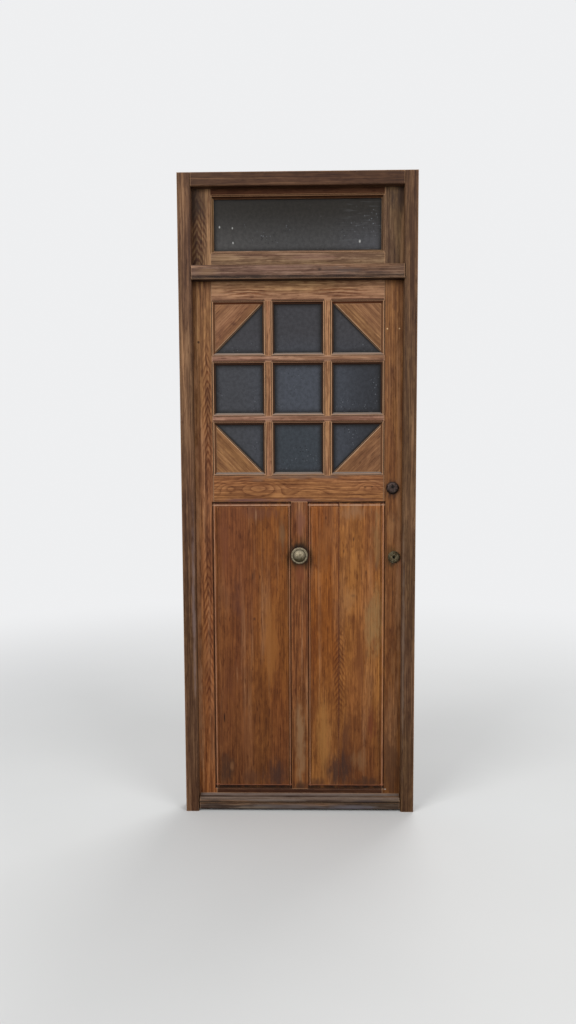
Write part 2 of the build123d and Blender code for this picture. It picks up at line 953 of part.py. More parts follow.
def hinge_plate(z0, plate_x, direction):
    """The plate let into the wood, from its inner end to the pin's axis."""
    return block(
        plate_x, plate_x + direction * plate_thickness, leaf_back - plate_depth, pin_y,
        z0, z0 + knuckle_length,
    )


def hinge_screws(z0, face_x, direction):
    """Three screws through a hinge plate, two beside the knuckle and one further out."""
    near = leaf_back - plate_depth / 4
    far = leaf_back - 0.7 * plate_depth
    rows = (
        (near, knuckle_length / 5),
        (near, knuckle_length * 4 / 5),
        (far, knuckle_length / 2),
    )
    screws = []
    for y, rise in rows:
        place = Plane(origin=(face_x, y, z0 + rise), x_dir=(0, 1, 0), z_dir=(-direction, 0, 0))
        screws.append(screw(hinge_screw_length, place))
    return screws


# Pull knob


def pull_knob():
    """A turned mushroom knob with a rim ring, a groove and a domed middle."""
    rim_middle = (knob_rim_foot + knob_rim_top) / 2
    rim_edge = knob_radius - knob_ring_width / 3
    ring_foot = knob_radius - knob_ring_width
    dome_edge = ring_foot - knob_groove_width
    groove_foot = knob_rim_top - knob_groove_depth
    neck_end = knob_neck_radius + knob_neck_foot / 3
    outline = [
        Polyline(
            (0, 0), (knob_foot_radius, 0), (knob_foot_radius, knob_foot_height),
            (neck_end, knob_neck_foot),
        ),
        ThreePointArc(
            (neck_end, knob_neck_foot),
            (knob_neck_radius, (knob_neck_foot + knob_neck_top) / 2),
            (neck_end, knob_neck_top),
        ),
        ThreePointArc(
            (neck_end, knob_neck_top),
            ((neck_end + knob_radius) / 2, (knob_neck_top + 0.8 * knob_rim_foot) / 1.8),
            (rim_edge, knob_rim_foot),
        ),
        ThreePointArc((rim_edge, knob_rim_foot), (knob_radius, rim_middle), (rim_edge, knob_rim_top)),
        Polyline(
            (rim_edge, knob_rim_top), (ring_foot, knob_rim_top), (ring_foot, groove_foot),
            (dome_edge, groove_foot), (dome_edge, knob_rim_top),
        ),
        dome(dome_edge, knob_rim_top, knob_projection),
        Line((0, knob_projection), (0, 0)),
    ]
    knob = turned(outline, muntin_x, leaf_front, knob_height, -1)
    socket = rod_y(
        muntin_x, knob_height, knob_bolt_radius, leaf_front - knob_bolt_engagement,
        leaf_front + over,
    )
    return knob - socket


def pull_knob_bolt():
    """The bolt through the muntin, with a domed head on the inner face."""
    washer = knob_washer_radius
    height = knob_washer_height
    shank = leaf_thickness + knob_bolt_engagement
    outline = [
        Polyline((0, -shank), (knob_bolt_radius, -shank), (knob_bolt_radius, 0), (washer, 0)),
        Line((washer, 0), (washer, height / 3)),
        dome(washer, height / 3, height),
        Line((0, height), (0, -shank)),
    ]
    return turned(outline, muntin_x, leaf_back, knob_height, 1)


# Rim locks


def lock_cylinder(x, z, collar, collar_height):
    """The flanged barrel through the stile, bored above its centre for the key plug."""
    flange = turned(collar, x, leaf_front, z, -1)
    barrel = rod_y(x, z, barrel_radius, leaf_front - over, leaf_back)
    front = leaf_front - collar_height - over
    bore = rod_y(x, z + plug_rise, plug_radius + plug_clearance, front, leaf_back + over)
    return flange + barrel - bore


def deadlock_collar():
    """Half the section of a domed flange with a flat face."""
    rim, top = deadlock_collar_radius, deadlock_collar_height
    flat = barrel_radius + collar_step
    return [
        Polyline((0, 0), (rim, 0), (rim, collar_rim)),
        ThreePointArc((rim, collar_rim), (rim - collar_rim, top - collar_rim), (flat, top)),
        Polyline((flat, top), (0, top), (0, 0)),
    ]


def latch_collar():
    """Half the section of a stepped flange: an outer ring and a raised disc."""
    rim, top = latch_collar_radius, latch_collar_height
    ring = rim - collar_step
    disc = rim - 2.5 * collar_step
    half = top / 2
    return [
        Polyline((0, 0), (rim, 0), (rim, half / 2), (ring, half), (disc, half), (disc, top - over)),
        Polyline((disc, top - over), (disc - over, top), (0, top), (0, 0)),
    ]


def key_plug(x, z, height, lean):
    """The turning plug with its keyway, from the collar's face into the case; lean is the angle
    of the keyway from upright as seen from outside."""
    axis_z = z + plug_rise
    front = leaf_front - height + plug_recess
    plug = rod_y(x, axis_z, plug_radius, front, leaf_back + plug_reach)
    length = keyway_depth + over
    keyway = Pos(x, front - over + length / 2, axis_z) * Rot(0, lean, 0)
    return plug - keyway * Box(keyway_width, length, keyway_height)


def lock_case(z, half_height):
    """A rim case on the inner face of the lock stile, with its vertical edges rounded."""
    case = block(
        case_inner_edge, case_outer_edge, leaf_back, leaf_back + case_depth,
        z - half_height, z + half_height,
    )
    face = case.faces().sort_by(Axis.Y)[-1]
    return fillet(face.edges(), case_fillet)


def case_screws(z, half_height):
    """Four screws through the corners of a case into the stile."""
    screws = []
    surface = leaf_back + case_depth
    for x in (case_inner_edge + case_screw_inset, case_outer_edge - case_screw_inset):
        for height in (z - half_height + case_screw_inset, z + half_height - case_screw_inset):
            place = Plane(origin=(x, surface, height), x_dir=(1, 0, 0), z_dir=(0, 1, 0))
            screws.append(screw(case_depth + case_screw_length, place))
    return screws


def bolt_box(x0, x1, z, height, grow):
    """A bolt's box, or with grow the channel or pocket around it."""
    front = leaf_back + bolt_front
    half = height / 2 + grow
    return block(x0, x1, front - grow, front + bolt_thickness + grow, z - half, z + half)


def lock_keep(z, half_height, height, throw):
    """A boxed keep on the jamb, open towards the case, with a pocket for the bolt."""
    x0 = rebate_half + keep_gap
    x1 = x0 + keep_width
    keep = block(x0, x1, leaf_back, leaf_back + keep_depth, z - half_height, z + half_height)
    face = keep.faces().sort_by(Axis.Y)[-1]
    keep = fillet(face.edges(), case_fillet)
    return keep - bolt_box(x0 - over, x1 - keep_wall, z, height, pocket_clearance)


def keep_screws(z, half_height):
    """Two screws through a keep into the jamb."""
    x = rebate_half + keep_gap + keep_width / 2
    surface = leaf_back + keep_depth
    screws = []
    for height in (z - half_height + case_screw_inset, z + half_height - case_screw_inset):
        place = Plane(origin=(x, surface, height), x_dir=(1, 0, 0), z_dir=(0, 1, 0))
        screws.append(screw(keep_depth + case_screw_length, place))
    return screws


def deadlock():
    """The upper lock: key outside, turn inside, and a sliding bolt."""
    x, z = deadlock_x, deadlock_z
    axis_z = z + plug_rise
    edge = case_outer_edge
    tail = x + plug_radius + turn_gap
    bolt = bolt_box(tail + over, edge, z, deadbolt_height, 0)
    case = lock_case(z, deadlock_half_height)
    case -= bolt_box(tail, edge + over, z, deadbolt_height, bolt_clearance)
    case -= rod_y(x, axis_z, plug_radius + over, leaf_back - over, leaf_back + plug_reach + turn_gap)
    spindle_foot = leaf_back + plug_reach + turn_gap
    surface = leaf_back + case_depth
    spindle_bore = turn_spindle_radius + plug_clearance
    case -= rod_y(x, axis_z, spindle_bore, spindle_foot - over, surface + over)
    turn = rod_y(x, axis_z, turn_spindle_radius, spindle_foot, surface + turn_gap)
    turn += rod_y(
        x, axis_z, turn_disc_radius, surface + turn_gap, surface + turn_gap + turn_disc_height
    )
    grip_foot = surface + turn_gap + turn_disc_height
    half_length, half_width = turn_grip_length / 2, turn_grip_width / 2
    grip = block(
        x - half_width, x + half_width, grip_foot, grip_foot + turn_grip_height,
        axis_z - half_length, axis_z + half_length,
    )
    turn += fillet(grip.edges().filter_by(Axis.Y), half_width * 0.9)
    return {
        "deadlock_cylinder": lock_cylinder(x, z, deadlock_collar(), deadlock_collar_height),
        "deadlock_key_plug": key_plug(x, z, deadlock_collar_height, 0),
        "deadlock_case": case,
        "deadlock_bolt": bolt,
        "deadlock_turn": turn,
        "deadlock_keep": lock_keep(z, deadlock_half_height, deadbolt_height, deadbolt_throw),
    }


def latch():
    """The lower lock: key outside, pull button inside, and a bevelled spring bolt."""
    x, z = latch_x, latch_z
    axis_z = z + plug_rise
    edge = case_outer_edge
    tail = edge - latch_tail
    bolt = bolt_box(tail, edge, z, latch_height, 0)
    front = leaf_back + bolt_front
    nose = Polygon(
        (edge + over, front - over),
        (edge + over, front + bolt_thickness),
        (edge, front + bolt_thickness - arris),
        (edge - bolt_thickness + arris, front),
        (edge - bolt_thickness + arris, front - over),
        align=None,
    )
    bolt -= Pos(0, 0, z - latch_height) * extrude(nose, amount=2 * latch_height)
    surface = leaf_back + case_depth
    pull_x = tail + pull_inset
    bolt_back = front + bolt_thickness
    case = lock_case(z, latch_half_height)
    case -= bolt_box(tail - bolt_clearance, edge + over, z, latch_height, bolt_clearance)
    case -= rod_y(x, axis_z, plug_radius + over, leaf_back - over, leaf_back + plug_reach + turn_gap)
    slot_half = pull_stalk_radius + bolt_clearance
    slot = block(
        pull_x, pull_x + latch_throw, bolt_back - over, surface + over, z - slot_half, z + slot_half
    )
    for end in (pull_x, pull_x + latch_throw):
        slot += rod_y(end, z, slot_half, bolt_back - over, surface + over)
    case -= slot
    stalk_end = surface + pull_lift
    pull = rod_y(pull_x, z, pull_stalk_radius, bolt_back, stalk_end)
    rim, low, high = pull_radius, pull_height / 5, pull_height * 2 / 3
    outline = [
        Polyline((0, 0), (rim * 0.8, 0), (rim, low), (rim, high)),
        dome(rim, high, pull_height),
        Line((0, pull_height), (0, 0)),
    ]
    pull += turned(outline, pull_x, stalk_end, z, 1)
    return {
        "latch_cylinder": lock_cylinder(x, z, latch_collar(), latch_collar_height),
        "latch_key_plug": key_plug(x, z, latch_collar_height, latch_key_lean),
        "latch_case": case,
        "latch_bolt": bolt,
        "latch_pull": pull,
        "latch_keep": lock_keep(z, latch_half_height, latch_height, latch_throw),
    }


# Assembly


def hinges():
    """Three lift-off hinges: the lower half holds the pin, the upper half turns on it."""
    pieces = {}
    pins = []
    frame_screws = []
    leaf_screws = []
    recesses = {"frame": [], "leaf": []}
    for name, height in zip(("lower", "middle", "upper"), hinge_heights):
        low = height - knuckle_length
        pieces[f"hinge_{name}_frame_half"] = (
            hinge_half(low, -rebate_half, pin_radius, low + pin_floor, height, -1),
            hinge_screws(low, -rebate_half, -1),
        )
        pieces[f"hinge_{name}_leaf_half"] = (
            hinge_half(
                height, -leaf_half, pin_radius + pin_clearance, height,
                height + knuckle_length - pin_floor, 1,
            ),
            hinge_screws(height, -leaf_half, 1),
        )
        recesses["frame"].append(hinge_plate(low, -rebate_half, -1))
        recesses["leaf"].append(hinge_plate(height, -leaf_half, 1))
        pin_length = 2 * (knuckle_length - pin_floor) - over
        pin_foot = low + pin_floor
        pins.append(Pos(pin_x, pin_y, pin_foot + pin_length / 2) * Cylinder(pin_radius, pin_length))
    for name, (half, screws) in pieces.items():
        pieces[name] = drill(half, screws)
        if "frame" in name:
            frame_screws += screws
        else:
            leaf_screws += screws
    return pieces, pins, frame_screws, leaf_screws, recesses


def sash_screws():
    """Screws from inside through the overlight's stiles into the frame's stops."""
    screws = []
    x = (clear_half + leaf_half) / 2
    for side in (-1, 1):
        for height in (sash_foot + overlight_bottom_face, sash_top - overlight_top_face):
            place = Plane(origin=(side * x, leaf_back, height), x_dir=(1, 0, 0), z_dir=(0, 1, 0))
            screws.append(screw(sash_screw_length, place))
    return screws


def door():
    """Every node of the door by name."""
    pieces = {}
    transom, head = transom_raw(), head_raw()
    hinge_pieces, pins, frame_screws, leaf_screws, recesses = hinges()
    sash_fixings = sash_screws()
    deadlock_keep_screws = keep_screws(deadlock_z, deadlock_half_height)
    latch_keep_screws = keep_screws(latch_z, latch_half_height)
    deadlock_case_screws = case_screws(deadlock_z, deadlock_half_height)
    latch_case_screws = case_screws(latch_z, latch_half_height)

    left = jamb_raw(-1) - [transom, head] - recesses["frame"]
    right = jamb_raw(1) - [transom, head]
    pieces["frame_jamb_hinge_side"] = drill(left, frame_screws + sash_fixings)
    pieces["frame_jamb_lock_side"] = drill(
        right, sash_fixings + deadlock_keep_screws + latch_keep_screws
    )
    pieces["frame_head"] = head
    pieces["frame_transom"] = transom

    for name, member in overlight_members().items():
        pieces[name] = drill(member, sash_fixings) if "stile" in name else member
    pieces.update(leaf_members())
    pieces.update(glazing())
    pieces["lower_panel_left"] = lower_panel(
        left_panel_opening, panel_outer_margin, panel_muntin_margin, None
    )
    pieces["lower_panel_right"] = lower_panel(
        right_panel_opening, panel_muntin_margin, panel_outer_margin, board_seam
    )
    pieces["weatherboard"] = weatherboard()

    locks = {**deadlock(), **latch()}
    locks["deadlock_case"] = drill(locks["deadlock_case"], deadlock_case_screws)
    locks["latch_case"] = drill(locks["latch_case"], latch_case_screws)
    locks["deadlock_keep"] = drill(locks["deadlock_keep"], deadlock_keep_screws)
    locks["latch_keep"] = drill(locks["latch_keep"], latch_keep_screws)

    for name in ("leaf_stile_lock_side", "leaf_lock_rail"):
        for x, z in ((deadlock_x, deadlock_z), (latch_x, latch_z)):
            pieces[name] -= rod_y(x, z, barrel_radius, leaf_front - over, leaf_back + over)
        pieces[name] = drill(pieces[name], deadlock_case_screws + latch_case_screws)
    hinge_stile = pieces["leaf_stile_hinge_side"] - recesses["leaf"]
    pieces["leaf_stile_hinge_side"] = drill(hinge_stile, leaf_screws)
    pieces["leaf_muntin"] -= rod_y(
        muntin_x, knob_height, knob_bolt_radius + knob_bolt_play, leaf_front - over,
        leaf_back + over,
    )

    pieces.update(hinge_pieces)
    pieces["hinge_pins"] = Compound(children=pins)
    pieces["pull_knob"] = pull_knob()
    pieces["pull_knob_bolt"] = pull_knob_bolt()
    pieces.update(locks)
    frame_side = frame_screws + sash_fixings + deadlock_keep_screws + latch_keep_screws
    leaf_side = leaf_screws + deadlock_case_screws + latch_case_screws
    pieces["frame_screws"] = Compound(children=row_of(frame_side))
    pieces["leaf_screws"] = Compound(children=row_of(leaf_side))
    return pieces


os.makedirs("parts", exist_ok=True)
for node, shape in door().items():
    export_step(shape, f"parts/{node}.step")
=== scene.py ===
import math

import bpy
import bmesh
from mathutils import Matrix, Vector

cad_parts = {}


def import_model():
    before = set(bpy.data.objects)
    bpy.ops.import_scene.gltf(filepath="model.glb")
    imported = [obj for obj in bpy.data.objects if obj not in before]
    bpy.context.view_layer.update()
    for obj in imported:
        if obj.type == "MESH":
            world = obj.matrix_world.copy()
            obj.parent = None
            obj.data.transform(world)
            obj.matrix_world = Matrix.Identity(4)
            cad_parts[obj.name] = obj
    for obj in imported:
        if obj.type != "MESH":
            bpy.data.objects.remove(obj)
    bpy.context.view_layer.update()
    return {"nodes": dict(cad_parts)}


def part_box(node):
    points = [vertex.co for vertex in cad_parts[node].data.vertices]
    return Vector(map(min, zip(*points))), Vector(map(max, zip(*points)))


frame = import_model()
nodes = frame["nodes"]
scene = bpy.context.scene

# Places in metres that the looks follow, all in the frame of the CAD part
LEAF_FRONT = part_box("leaf_muntin")[0].y
LEAF_FOOT, LEAF_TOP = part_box("leaf_stile_hinge_side")[0].z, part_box("leaf_stile_hinge_side")[1].z
STILE_FACE = 0.085
STILE_LINE = -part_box("leaf_stile_hinge_side")[0].x - STILE_FACE
# How far a panel or a pane reaches into its groove
PANEL_HOLD = 0.009
LEFT_PANEL = [corner.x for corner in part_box("lower_panel_left")]
RIGHT_PANEL = [corner.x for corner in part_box("lower_panel_right")]
PANEL_FOOT, PANEL_TOP = [corner.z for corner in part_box("lower_panel_left")]
MUNTIN_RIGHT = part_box("leaf_muntin")[1].x
FIRST_BOARD = 0.121
BOARD_SEAM = MUNTIN_RIGHT + FIRST_BOARD
KNOB = sum(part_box("pull_knob"), Vector()) / 2
UPPER_LOCK = sum(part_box("deadlock_cylinder"), Vector()) / 2
LOWER_LOCK = sum(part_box("latch_cylinder"), Vector()) / 2
LIGHT_COLUMNS = [
    [corner.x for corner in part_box(f"pane_middle_{column}")] for column in ("left", "centre", "right")
]
LIGHT_ROWS = [
    [corner.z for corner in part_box(f"pane_{row}_centre")] for row in ("lower", "middle", "upper")
]
LIGHTS_FOOT = LIGHT_ROWS[0][0] + PANEL_HOLD
LIGHTS_MIDDLE = sum(LIGHT_COLUMNS[1]) / 2, sum(LIGHT_ROWS[1]) / 2
# The wooden corners begin where across and up from the middle of the lights add up to this
CORNERS_BEGIN = LIGHT_COLUMNS[2][0] - LIGHTS_MIDDLE[0] + LIGHT_ROWS[2][1] - LIGHTS_MIDDLE[1]
OVERLIGHT_FOOT, OVERLIGHT_TOP = [corner.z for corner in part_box("overlight_pane")]
TRANSOM_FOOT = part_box("frame_transom")[0].z
BOARD_FOOT, BOARD_TOP = [corner.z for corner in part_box("weatherboard")]


# Node graphs


class Graph:
    """A material's node tree with short calls for the nodes that the looks need."""

    def __init__(self, name):
        self.material = bpy.data.materials.new(name)
        self.material.use_nodes = True
        self.tree = self.material.node_tree
        self.shader = self.tree.nodes["Principled BSDF"]
        self.place = self.node("ShaderNodeTexCoord").outputs["Object"]

    def node(self, kind, **settings):
        made = self.tree.nodes.new(kind)
        for key, value in settings.items():
            setattr(made, key, value)
        return made

    def put(self, socket, value):
        """Links a socket to another one, or sets it to a number or a colour."""
        if isinstance(value, bpy.types.NodeSocket):
            self.tree.links.new(value, socket)
        elif hasattr(value, "__len__") and len(value) == 3 and socket.type == "RGBA":
            socket.default_value = (*value, 1)
        else:
            socket.default_value = value

    def math(self, operation, a, b=0.0):
        made = self.node("ShaderNodeMath", operation=operation)
        self.put(made.inputs[0], a)
        self.put(made.inputs[1], b)
        return made.outputs[0]

    def add(self, a, b):
        return self.math("ADD", a, b)

    def times(self, a, b):
        return self.math("MULTIPLY", a, b)

    def less(self, a, b):
        return self.math("SUBTRACT", a, b)

    def most(self, a, b):
        return self.math("MAXIMUM", a, b)

    def away(self, a, b):
        return self.math("ABSOLUTE", self.less(a, b))

    def split(self, vector):
        made = self.node("ShaderNodeSeparateXYZ")
        self.put(made.inputs[0], vector)
        return made.outputs

    def vector(self, x, y, z):
        made = self.node("ShaderNodeCombineXYZ")
        for socket, value in zip(made.inputs, (x, y, z)):
            self.put(socket, value)
        return made.outputs[0]

    def noise(self, vector, scale, detail=2.0, rough=0.5):
        made = self.node("ShaderNodeTexNoise")
        self.put(made.inputs["Vector"], vector)
        made.inputs["Scale"].default_value = scale
        made.inputs["Detail"].default_value = detail
        made.inputs["Roughness"].default_value = rough
        return made.outputs["Fac"]

    def cells(self, vector, scale):
        """The distance to the nearest point of a random scatter."""
        made = self.node("ShaderNodeTexVoronoi")
        self.put(made.inputs["Vector"], vector)
        made.inputs["Scale"].default_value = scale
        return made.outputs["Distance"]

    def span(self, value, low, high, to_low=0.0, to_high=1.0):
        """A smooth step of the value from low to high, clamped at both ends."""
        made = self.node("ShaderNodeMapRange", clamp=True, interpolation_type="SMOOTHSTEP")
        for socket, number in zip(made.inputs, (value, low, high, to_low, to_high)):
            self.put(socket, number)
        return made.outputs[0]

    def mix(self, factor, a, b, blend="MIX"):
        made = self.node("ShaderNodeMix", data_type="RGBA", blend_type=blend)
        self.put(made.inputs[0], factor)
        self.put(made.inputs[6], a)
        self.put(made.inputs[7], b)
        return made.outputs[2]

    def spot(self, x, z, at, size, soft):
        """1 in the middle of an ellipse of the front view; from soft, a share of its half axes, it
        falls to 0 at the edge."""
        across = self.times(self.less(x, at[0]), 1 / size[0])
        along = self.times(self.less(z, at[1]), 1 / size[1])
        square = self.add(self.times(across, across), self.times(along, along))
        return self.span(self.math("SQRT", square), soft, 1.0, 1.0, 0.0)

    def line(self, value, at, half_width):
        """1 on a thin line where the value is at a number."""
        away = self.away(value, at)
        return self.span(away, half_width * 0.4, half_width, 1.0, 0.0)

    def closeness(self, distance, inside=False):
        """How closed in a point is, or with inside how near to an outer edge, from 0 up."""
        made = self.node("ShaderNodeAmbientOcclusion", samples=6, inside=inside, only_local=inside)
        made.inputs["Distance"].default_value = distance
        return self.less(1.0, made.outputs["AO"])

    def bump(self, height, strength, distance):
        made = self.node("ShaderNodeBump")
        made.inputs["Strength"].default_value = strength
        made.inputs["Distance"].default_value = distance
        self.put(made.inputs["Height"], height)
        self.tree.links.new(made.outputs[0], self.shader.inputs["Normal"])

    def finish(self, colour, rough, **sockets):
        self.put(self.shader.inputs["Base Color"], colour)
        self.put(self.shader.inputs["Roughness"], rough)
        for name, value in sockets.items():
            self.put(self.shader.inputs[name.replace("_", " ")], value)
        return self.material


def srgb(r, g, b):
    """An sRGB colour of 0 to 255 as the linear values that a socket takes."""
    out = []
    for value in (r, g, b):
        value /= 255
        out.append(value / 12.92 if value <= 0.04045 else ((value + 0.055) / 1.055) ** 2.4)
    return tuple(out)


def scaled(colour, r, g, b):
    """A linear colour with each channel times a factor."""
    return colour[0] * r, colour[1] * g, colour[2] * b


def dress(node, material):
    """Gives a CAD node its one material."""
    mesh = nodes[node].data
    mesh.materials.clear()
    mesh.materials.append(material)


# Wood

# Dirt, dust and worn wood; the dark tones also serve as painted shade, and the dust as painted light
# from above
GRIME_AND_SHADE = srgb(26, 17, 11)
SOOT_AND_SHADE = srgb(24, 14, 9)
DUST_AND_TOP_LIGHT = srgb(126, 114, 104)
# The tone of the dirt and painted shadow round the knob
KNOB_DIRT_AND_SHADOW = srgb(26, 17, 7)
# The ring of dirt and painted shadow round the knob: half its width and height, and where it begins to
# fade
KNOB_RING, KNOB_RING_FADES = (0.048, 0.050), 0.66
WORN = srgb(180, 138, 102)
# How strongly the arrises take the worn tone
WEAR = 0.4

# The mouldings' beads: pale with wear and painted highlight, dusty and pale with painted light from
# above, or dark with painted shade under the level bars; the corner panels' arris with its painted
# highlight; and the coves beside glass and beside the wooden corners, with their dirt and painted shade
WORN_LIT_BEAD = srgb(174, 135, 101)
DUSTY_LIT_BEAD = srgb(160, 136, 120)
UNDER_BEAD_SHADE = srgb(70, 38, 24)
LIT_ARRIS = srgb(196, 158, 124)
GLASS_COVE = srgb(48, 30, 20)
GLASS_COVE_TOP = srgb(52, 28, 17)
WOOD_COVE = srgb(104, 68, 44)
WOOD_COVE_TOP = srgb(98, 54, 32)

# The mouldings' section in metres: places from the light outward, half widths and depths
MOULDING = 0.012
BEAD_MIDDLE, BEAD_HALF = 0.0082, 0.0034
QUIRK_MIDDLE, QUIRK_HALF = 0.0114, 0.0018
UNDER_MIDDLE, UNDER_HALF = 0.0110, 0.0085
COVE_BEGINS, COVE_SUNK = 0.0028, 0.0045
BEVEL_BEGINS, BEVEL_ARRIS = 0.0110, 0.0116
BEVEL_ENDS, BEVEL_DARK = 0.0122, 0.0136

# Depths behind the leaf's face between which the marks of the outer face end
FRONT_ENDS, BACK_BEGINS = 0.016, 0.022

# How far in metres the arrises' wear, the joints' dirt and painted shade, and the recesses' painted
# shade reach, and how far the arches' middle sways
ARRIS_REACH, JOINT_REACH, SHADE_REACH = 0.004, 0.005, 0.03
ARCH_SWAY = 0.008

# Multipliers of the base colour
OCHRE_TINT, RED_TINT = (1.08, 1.06, 0.88), (1.02, 0.94, 0.94)
DARK_MOTTLE, LIGHT_MOTTLE = (0.78, 0.72, 0.66), (1.14, 1.15, 1.08)
DARK_STREAK = (0.58, 0.46, 0.38)
DARK_THREAD, LIGHT_THREAD = (0.55, 0.46, 0.40), (1.28, 1.29, 1.26)
LATE_WOOD = (0.34, 0.22, 0.17)
PORE = (0.42, 0.31, 0.25)
DARK_FIBRE, LIGHT_FIBRE = (0.78, 0.73, 0.70), (1.16, 1.18, 1.20)
ARCH_WOOD = (0.50, 0.35, 0.26)
# The painted shade of the recesses
RECESS_SHADE = (0.42, 0.34, 0.30)


class Timber:
    """The fields that one piece of timber's colour is made of, all in its own solid."""

    def __init__(self, g, grain, seed):
        x, y, z = g.split(g.place)
        turn = math.radians({"z": 0.0, "x": -90.0}.get(grain, grain))
        self.g, self.x, self.z = g, x, z
        self.across = g.add(g.times(x, math.cos(turn)), g.times(z, -math.sin(turn)))
        self.along = g.add(g.times(x, math.sin(turn)), g.times(z, math.cos(turn)))
        self.depth = g.less(y, LEAF_FRONT)
        self.front = g.span(self.depth, FRONT_ENDS, BACK_BEGINS, 1.0, 0.0)
        self.shift = [seed * step % 7.0 for step in (1.37, 2.91, 0.73)]
        self.streaks = self.grown(58.0, 1.6, 5.0, 0.62)
        self.threads = self.grown(190.0, 4.5, 4.0, 0.75)
        self.fibres = self.grown(430.0, 15.0, 3.0, 0.6)
        self.fray = self.grown(62.0, 17.0, 4.0, 0.65)

    def grown(self, across, along, detail, rough=0.5):
        """Noise that is stretched along the grain; across and along are its changes to the metre."""
        g, shift = self.g, self.shift
        return g.noise(
            g.vector(
                g.add(g.times(self.across, across), shift[0]),
                g.add(g.times(self.depth, across), shift[1]),
                g.add(g.times(self.along, along), shift[2]),
            ),
            1.0, detail, rough,
        )

    def rings(self, pith, spacing, tilt, wander, eyes):
        """Growth rings round a wandering pith; eyes are the ellipses that the rings run round."""
        g = self.g
        bend = g.less(self.grown(5.0, 1.6, 3.0, 0.55), 0.5)
        sway = g.less(self.grown(26.0, 6.0, 2.0), 0.5)
        off = g.add(g.times(bend, wander * 4), g.times(sway, wander * 0.6))
        side = g.add(g.less(self.across, pith[0]), off)
        deep = g.add(g.add(g.add(self.depth, pith[1]), g.times(self.along, tilt)), off)
        radius = g.math("SQRT", g.add(g.times(side, side), g.times(deep, deep)))
        for at, size, count in eyes:
            radius = g.add(radius, g.times(g.spot(self.x, self.z, at, size, 0.0), count * spacing))
        phase = g.math("FRACT", g.add(g.times(radius, 1 / spacing), g.times(self.fibres, 0.25)))
        late = g.times(g.math("POWER", phase, 2.8), g.span(phase, 0.88, 1.0, 1.0, 0.0))
        patchy = g.span(self.grown(11.0, 2.6, 2.0), 0.3, 0.62, 0.35, 1.0)
        return g.times(late, patchy)

    def stain(self, at, size):
        """A patch of the outer face with a frayed edge, inside an ellipse of the front view."""
        g = self.g
        inside = g.spot(self.x, self.z, at, size, 0.0)
        frayed = g.add(inside, g.times(g.less(self.fray, 0.5), 2.2))
        frayed = g.add(frayed, g.times(g.less(self.streaks, 0.5), 1.8))
        return g.times(g.times(g.span(frayed, 0.0, 1.1), g.span(inside, 0.0, 0.4)), self.front)


def heartwood(g, t, colour, late, figure, streak):
    """The base colour with all that grew in it: hues, streaks, threads, rings and pores."""
    hue = g.span(t.grown(9.0, 1.2, 3.0), 0.36, 0.64)
    colour = g.mix(0.9, colour, g.mix(hue, OCHRE_TINT, RED_TINT), "MULTIPLY")
    mottle = g.span(t.grown(48.0, 17.0, 5.0, 0.66), 0.38, 0.62)
    colour = g.mix(0.9, colour, g.mix(mottle, DARK_MOTTLE, LIGHT_MOTTLE), "MULTIPLY")
    bleached = g.span(t.grown(17.0, 1.9, 3.0), 0.54, 0.74)
    colour = g.mix(g.times(bleached, 0.24 * streak), colour, WORN)
    colour = g.mix(g.times(g.span(t.streaks, 0.54, 0.72), 0.34 * streak), colour, WORN)
    dark = g.span(t.streaks, 0.47, 0.30)
    colour = g.mix(g.times(dark, 0.68 * streak), colour, DARK_STREAK, "MULTIPLY")
    thread = g.mix(g.span(t.threads, 0.42, 0.58), DARK_THREAD, LIGHT_THREAD)
    colour = g.mix(0.85 * streak, colour, thread, "MULTIPLY")
    colour = g.mix(g.times(late, figure), colour, LATE_WOOD, "MULTIPLY")
    pores = g.span(t.grown(170.0, 24.0, 2.0), 0.60, 0.68)
    colour = g.mix(g.times(pores, 0.6), colour, PORE, "MULTIPLY")
    fine = g.mix(g.span(t.fibres, 0.3, 0.7), DARK_FIBRE, LIGHT_FIBRE)
    return g.mix(0.5, colour, fine, "MULTIPLY")


def beaded(g, t, colour, upright):
    """The bead and the quirk's dark line beside the lights, on an upright or a level member. The bead
    is pale at a light's sides with wear and a painted highlight, dusty and pale with painted light from
    above under it, and dark with painted shade over it."""
    along, across = (t.z, t.x) if upright else (t.x, t.z)
    edges, reaches = (LIGHT_COLUMNS, LIGHT_ROWS) if upright else (LIGHT_ROWS, LIGHT_COLUMNS)
    beside = bead = under = quirk = 0.0
    for low, high in reaches:
        begun = g.span(along, low, low + 0.001)
        beside = g.most(beside, g.times(begun, g.span(along, high - 0.001, high, 1.0, 0.0)))
    for edge, outward in [(low, -1) for low, high in edges] + [(high, 1) for low, high in edges]:
        sight = edge - outward * PANEL_HOLD
        if outward > 0 and not upright:
            under = g.most(under, g.line(across, sight + UNDER_MIDDLE, UNDER_HALF))
        else:
            bead = g.most(bead, g.line(across, sight + outward * BEAD_MIDDLE, BEAD_HALF))
        quirk = g.most(quirk, g.line(across, sight + outward * QUIRK_MIDDLE, QUIRK_HALF))
    # Where the beads take wear and painted highlight, broken up along the grain
    worn = g.span(t.fray, 0.3, 0.6, 0.5, 1.0)
    pale = WORN_LIT_BEAD if upright else DUSTY_LIT_BEAD
    colour = g.mix(g.times(g.times(bead, beside), g.times(worn, 0.62)), colour, pale)
    # Painted shade on the bead under each level bar
    colour = g.mix(g.times(g.times(under, beside), 0.95), colour, UNDER_BEAD_SHADE)
    return g.mix(g.times(g.times(quirk, beside), 0.9), colour, SOOT_AND_SHADE)


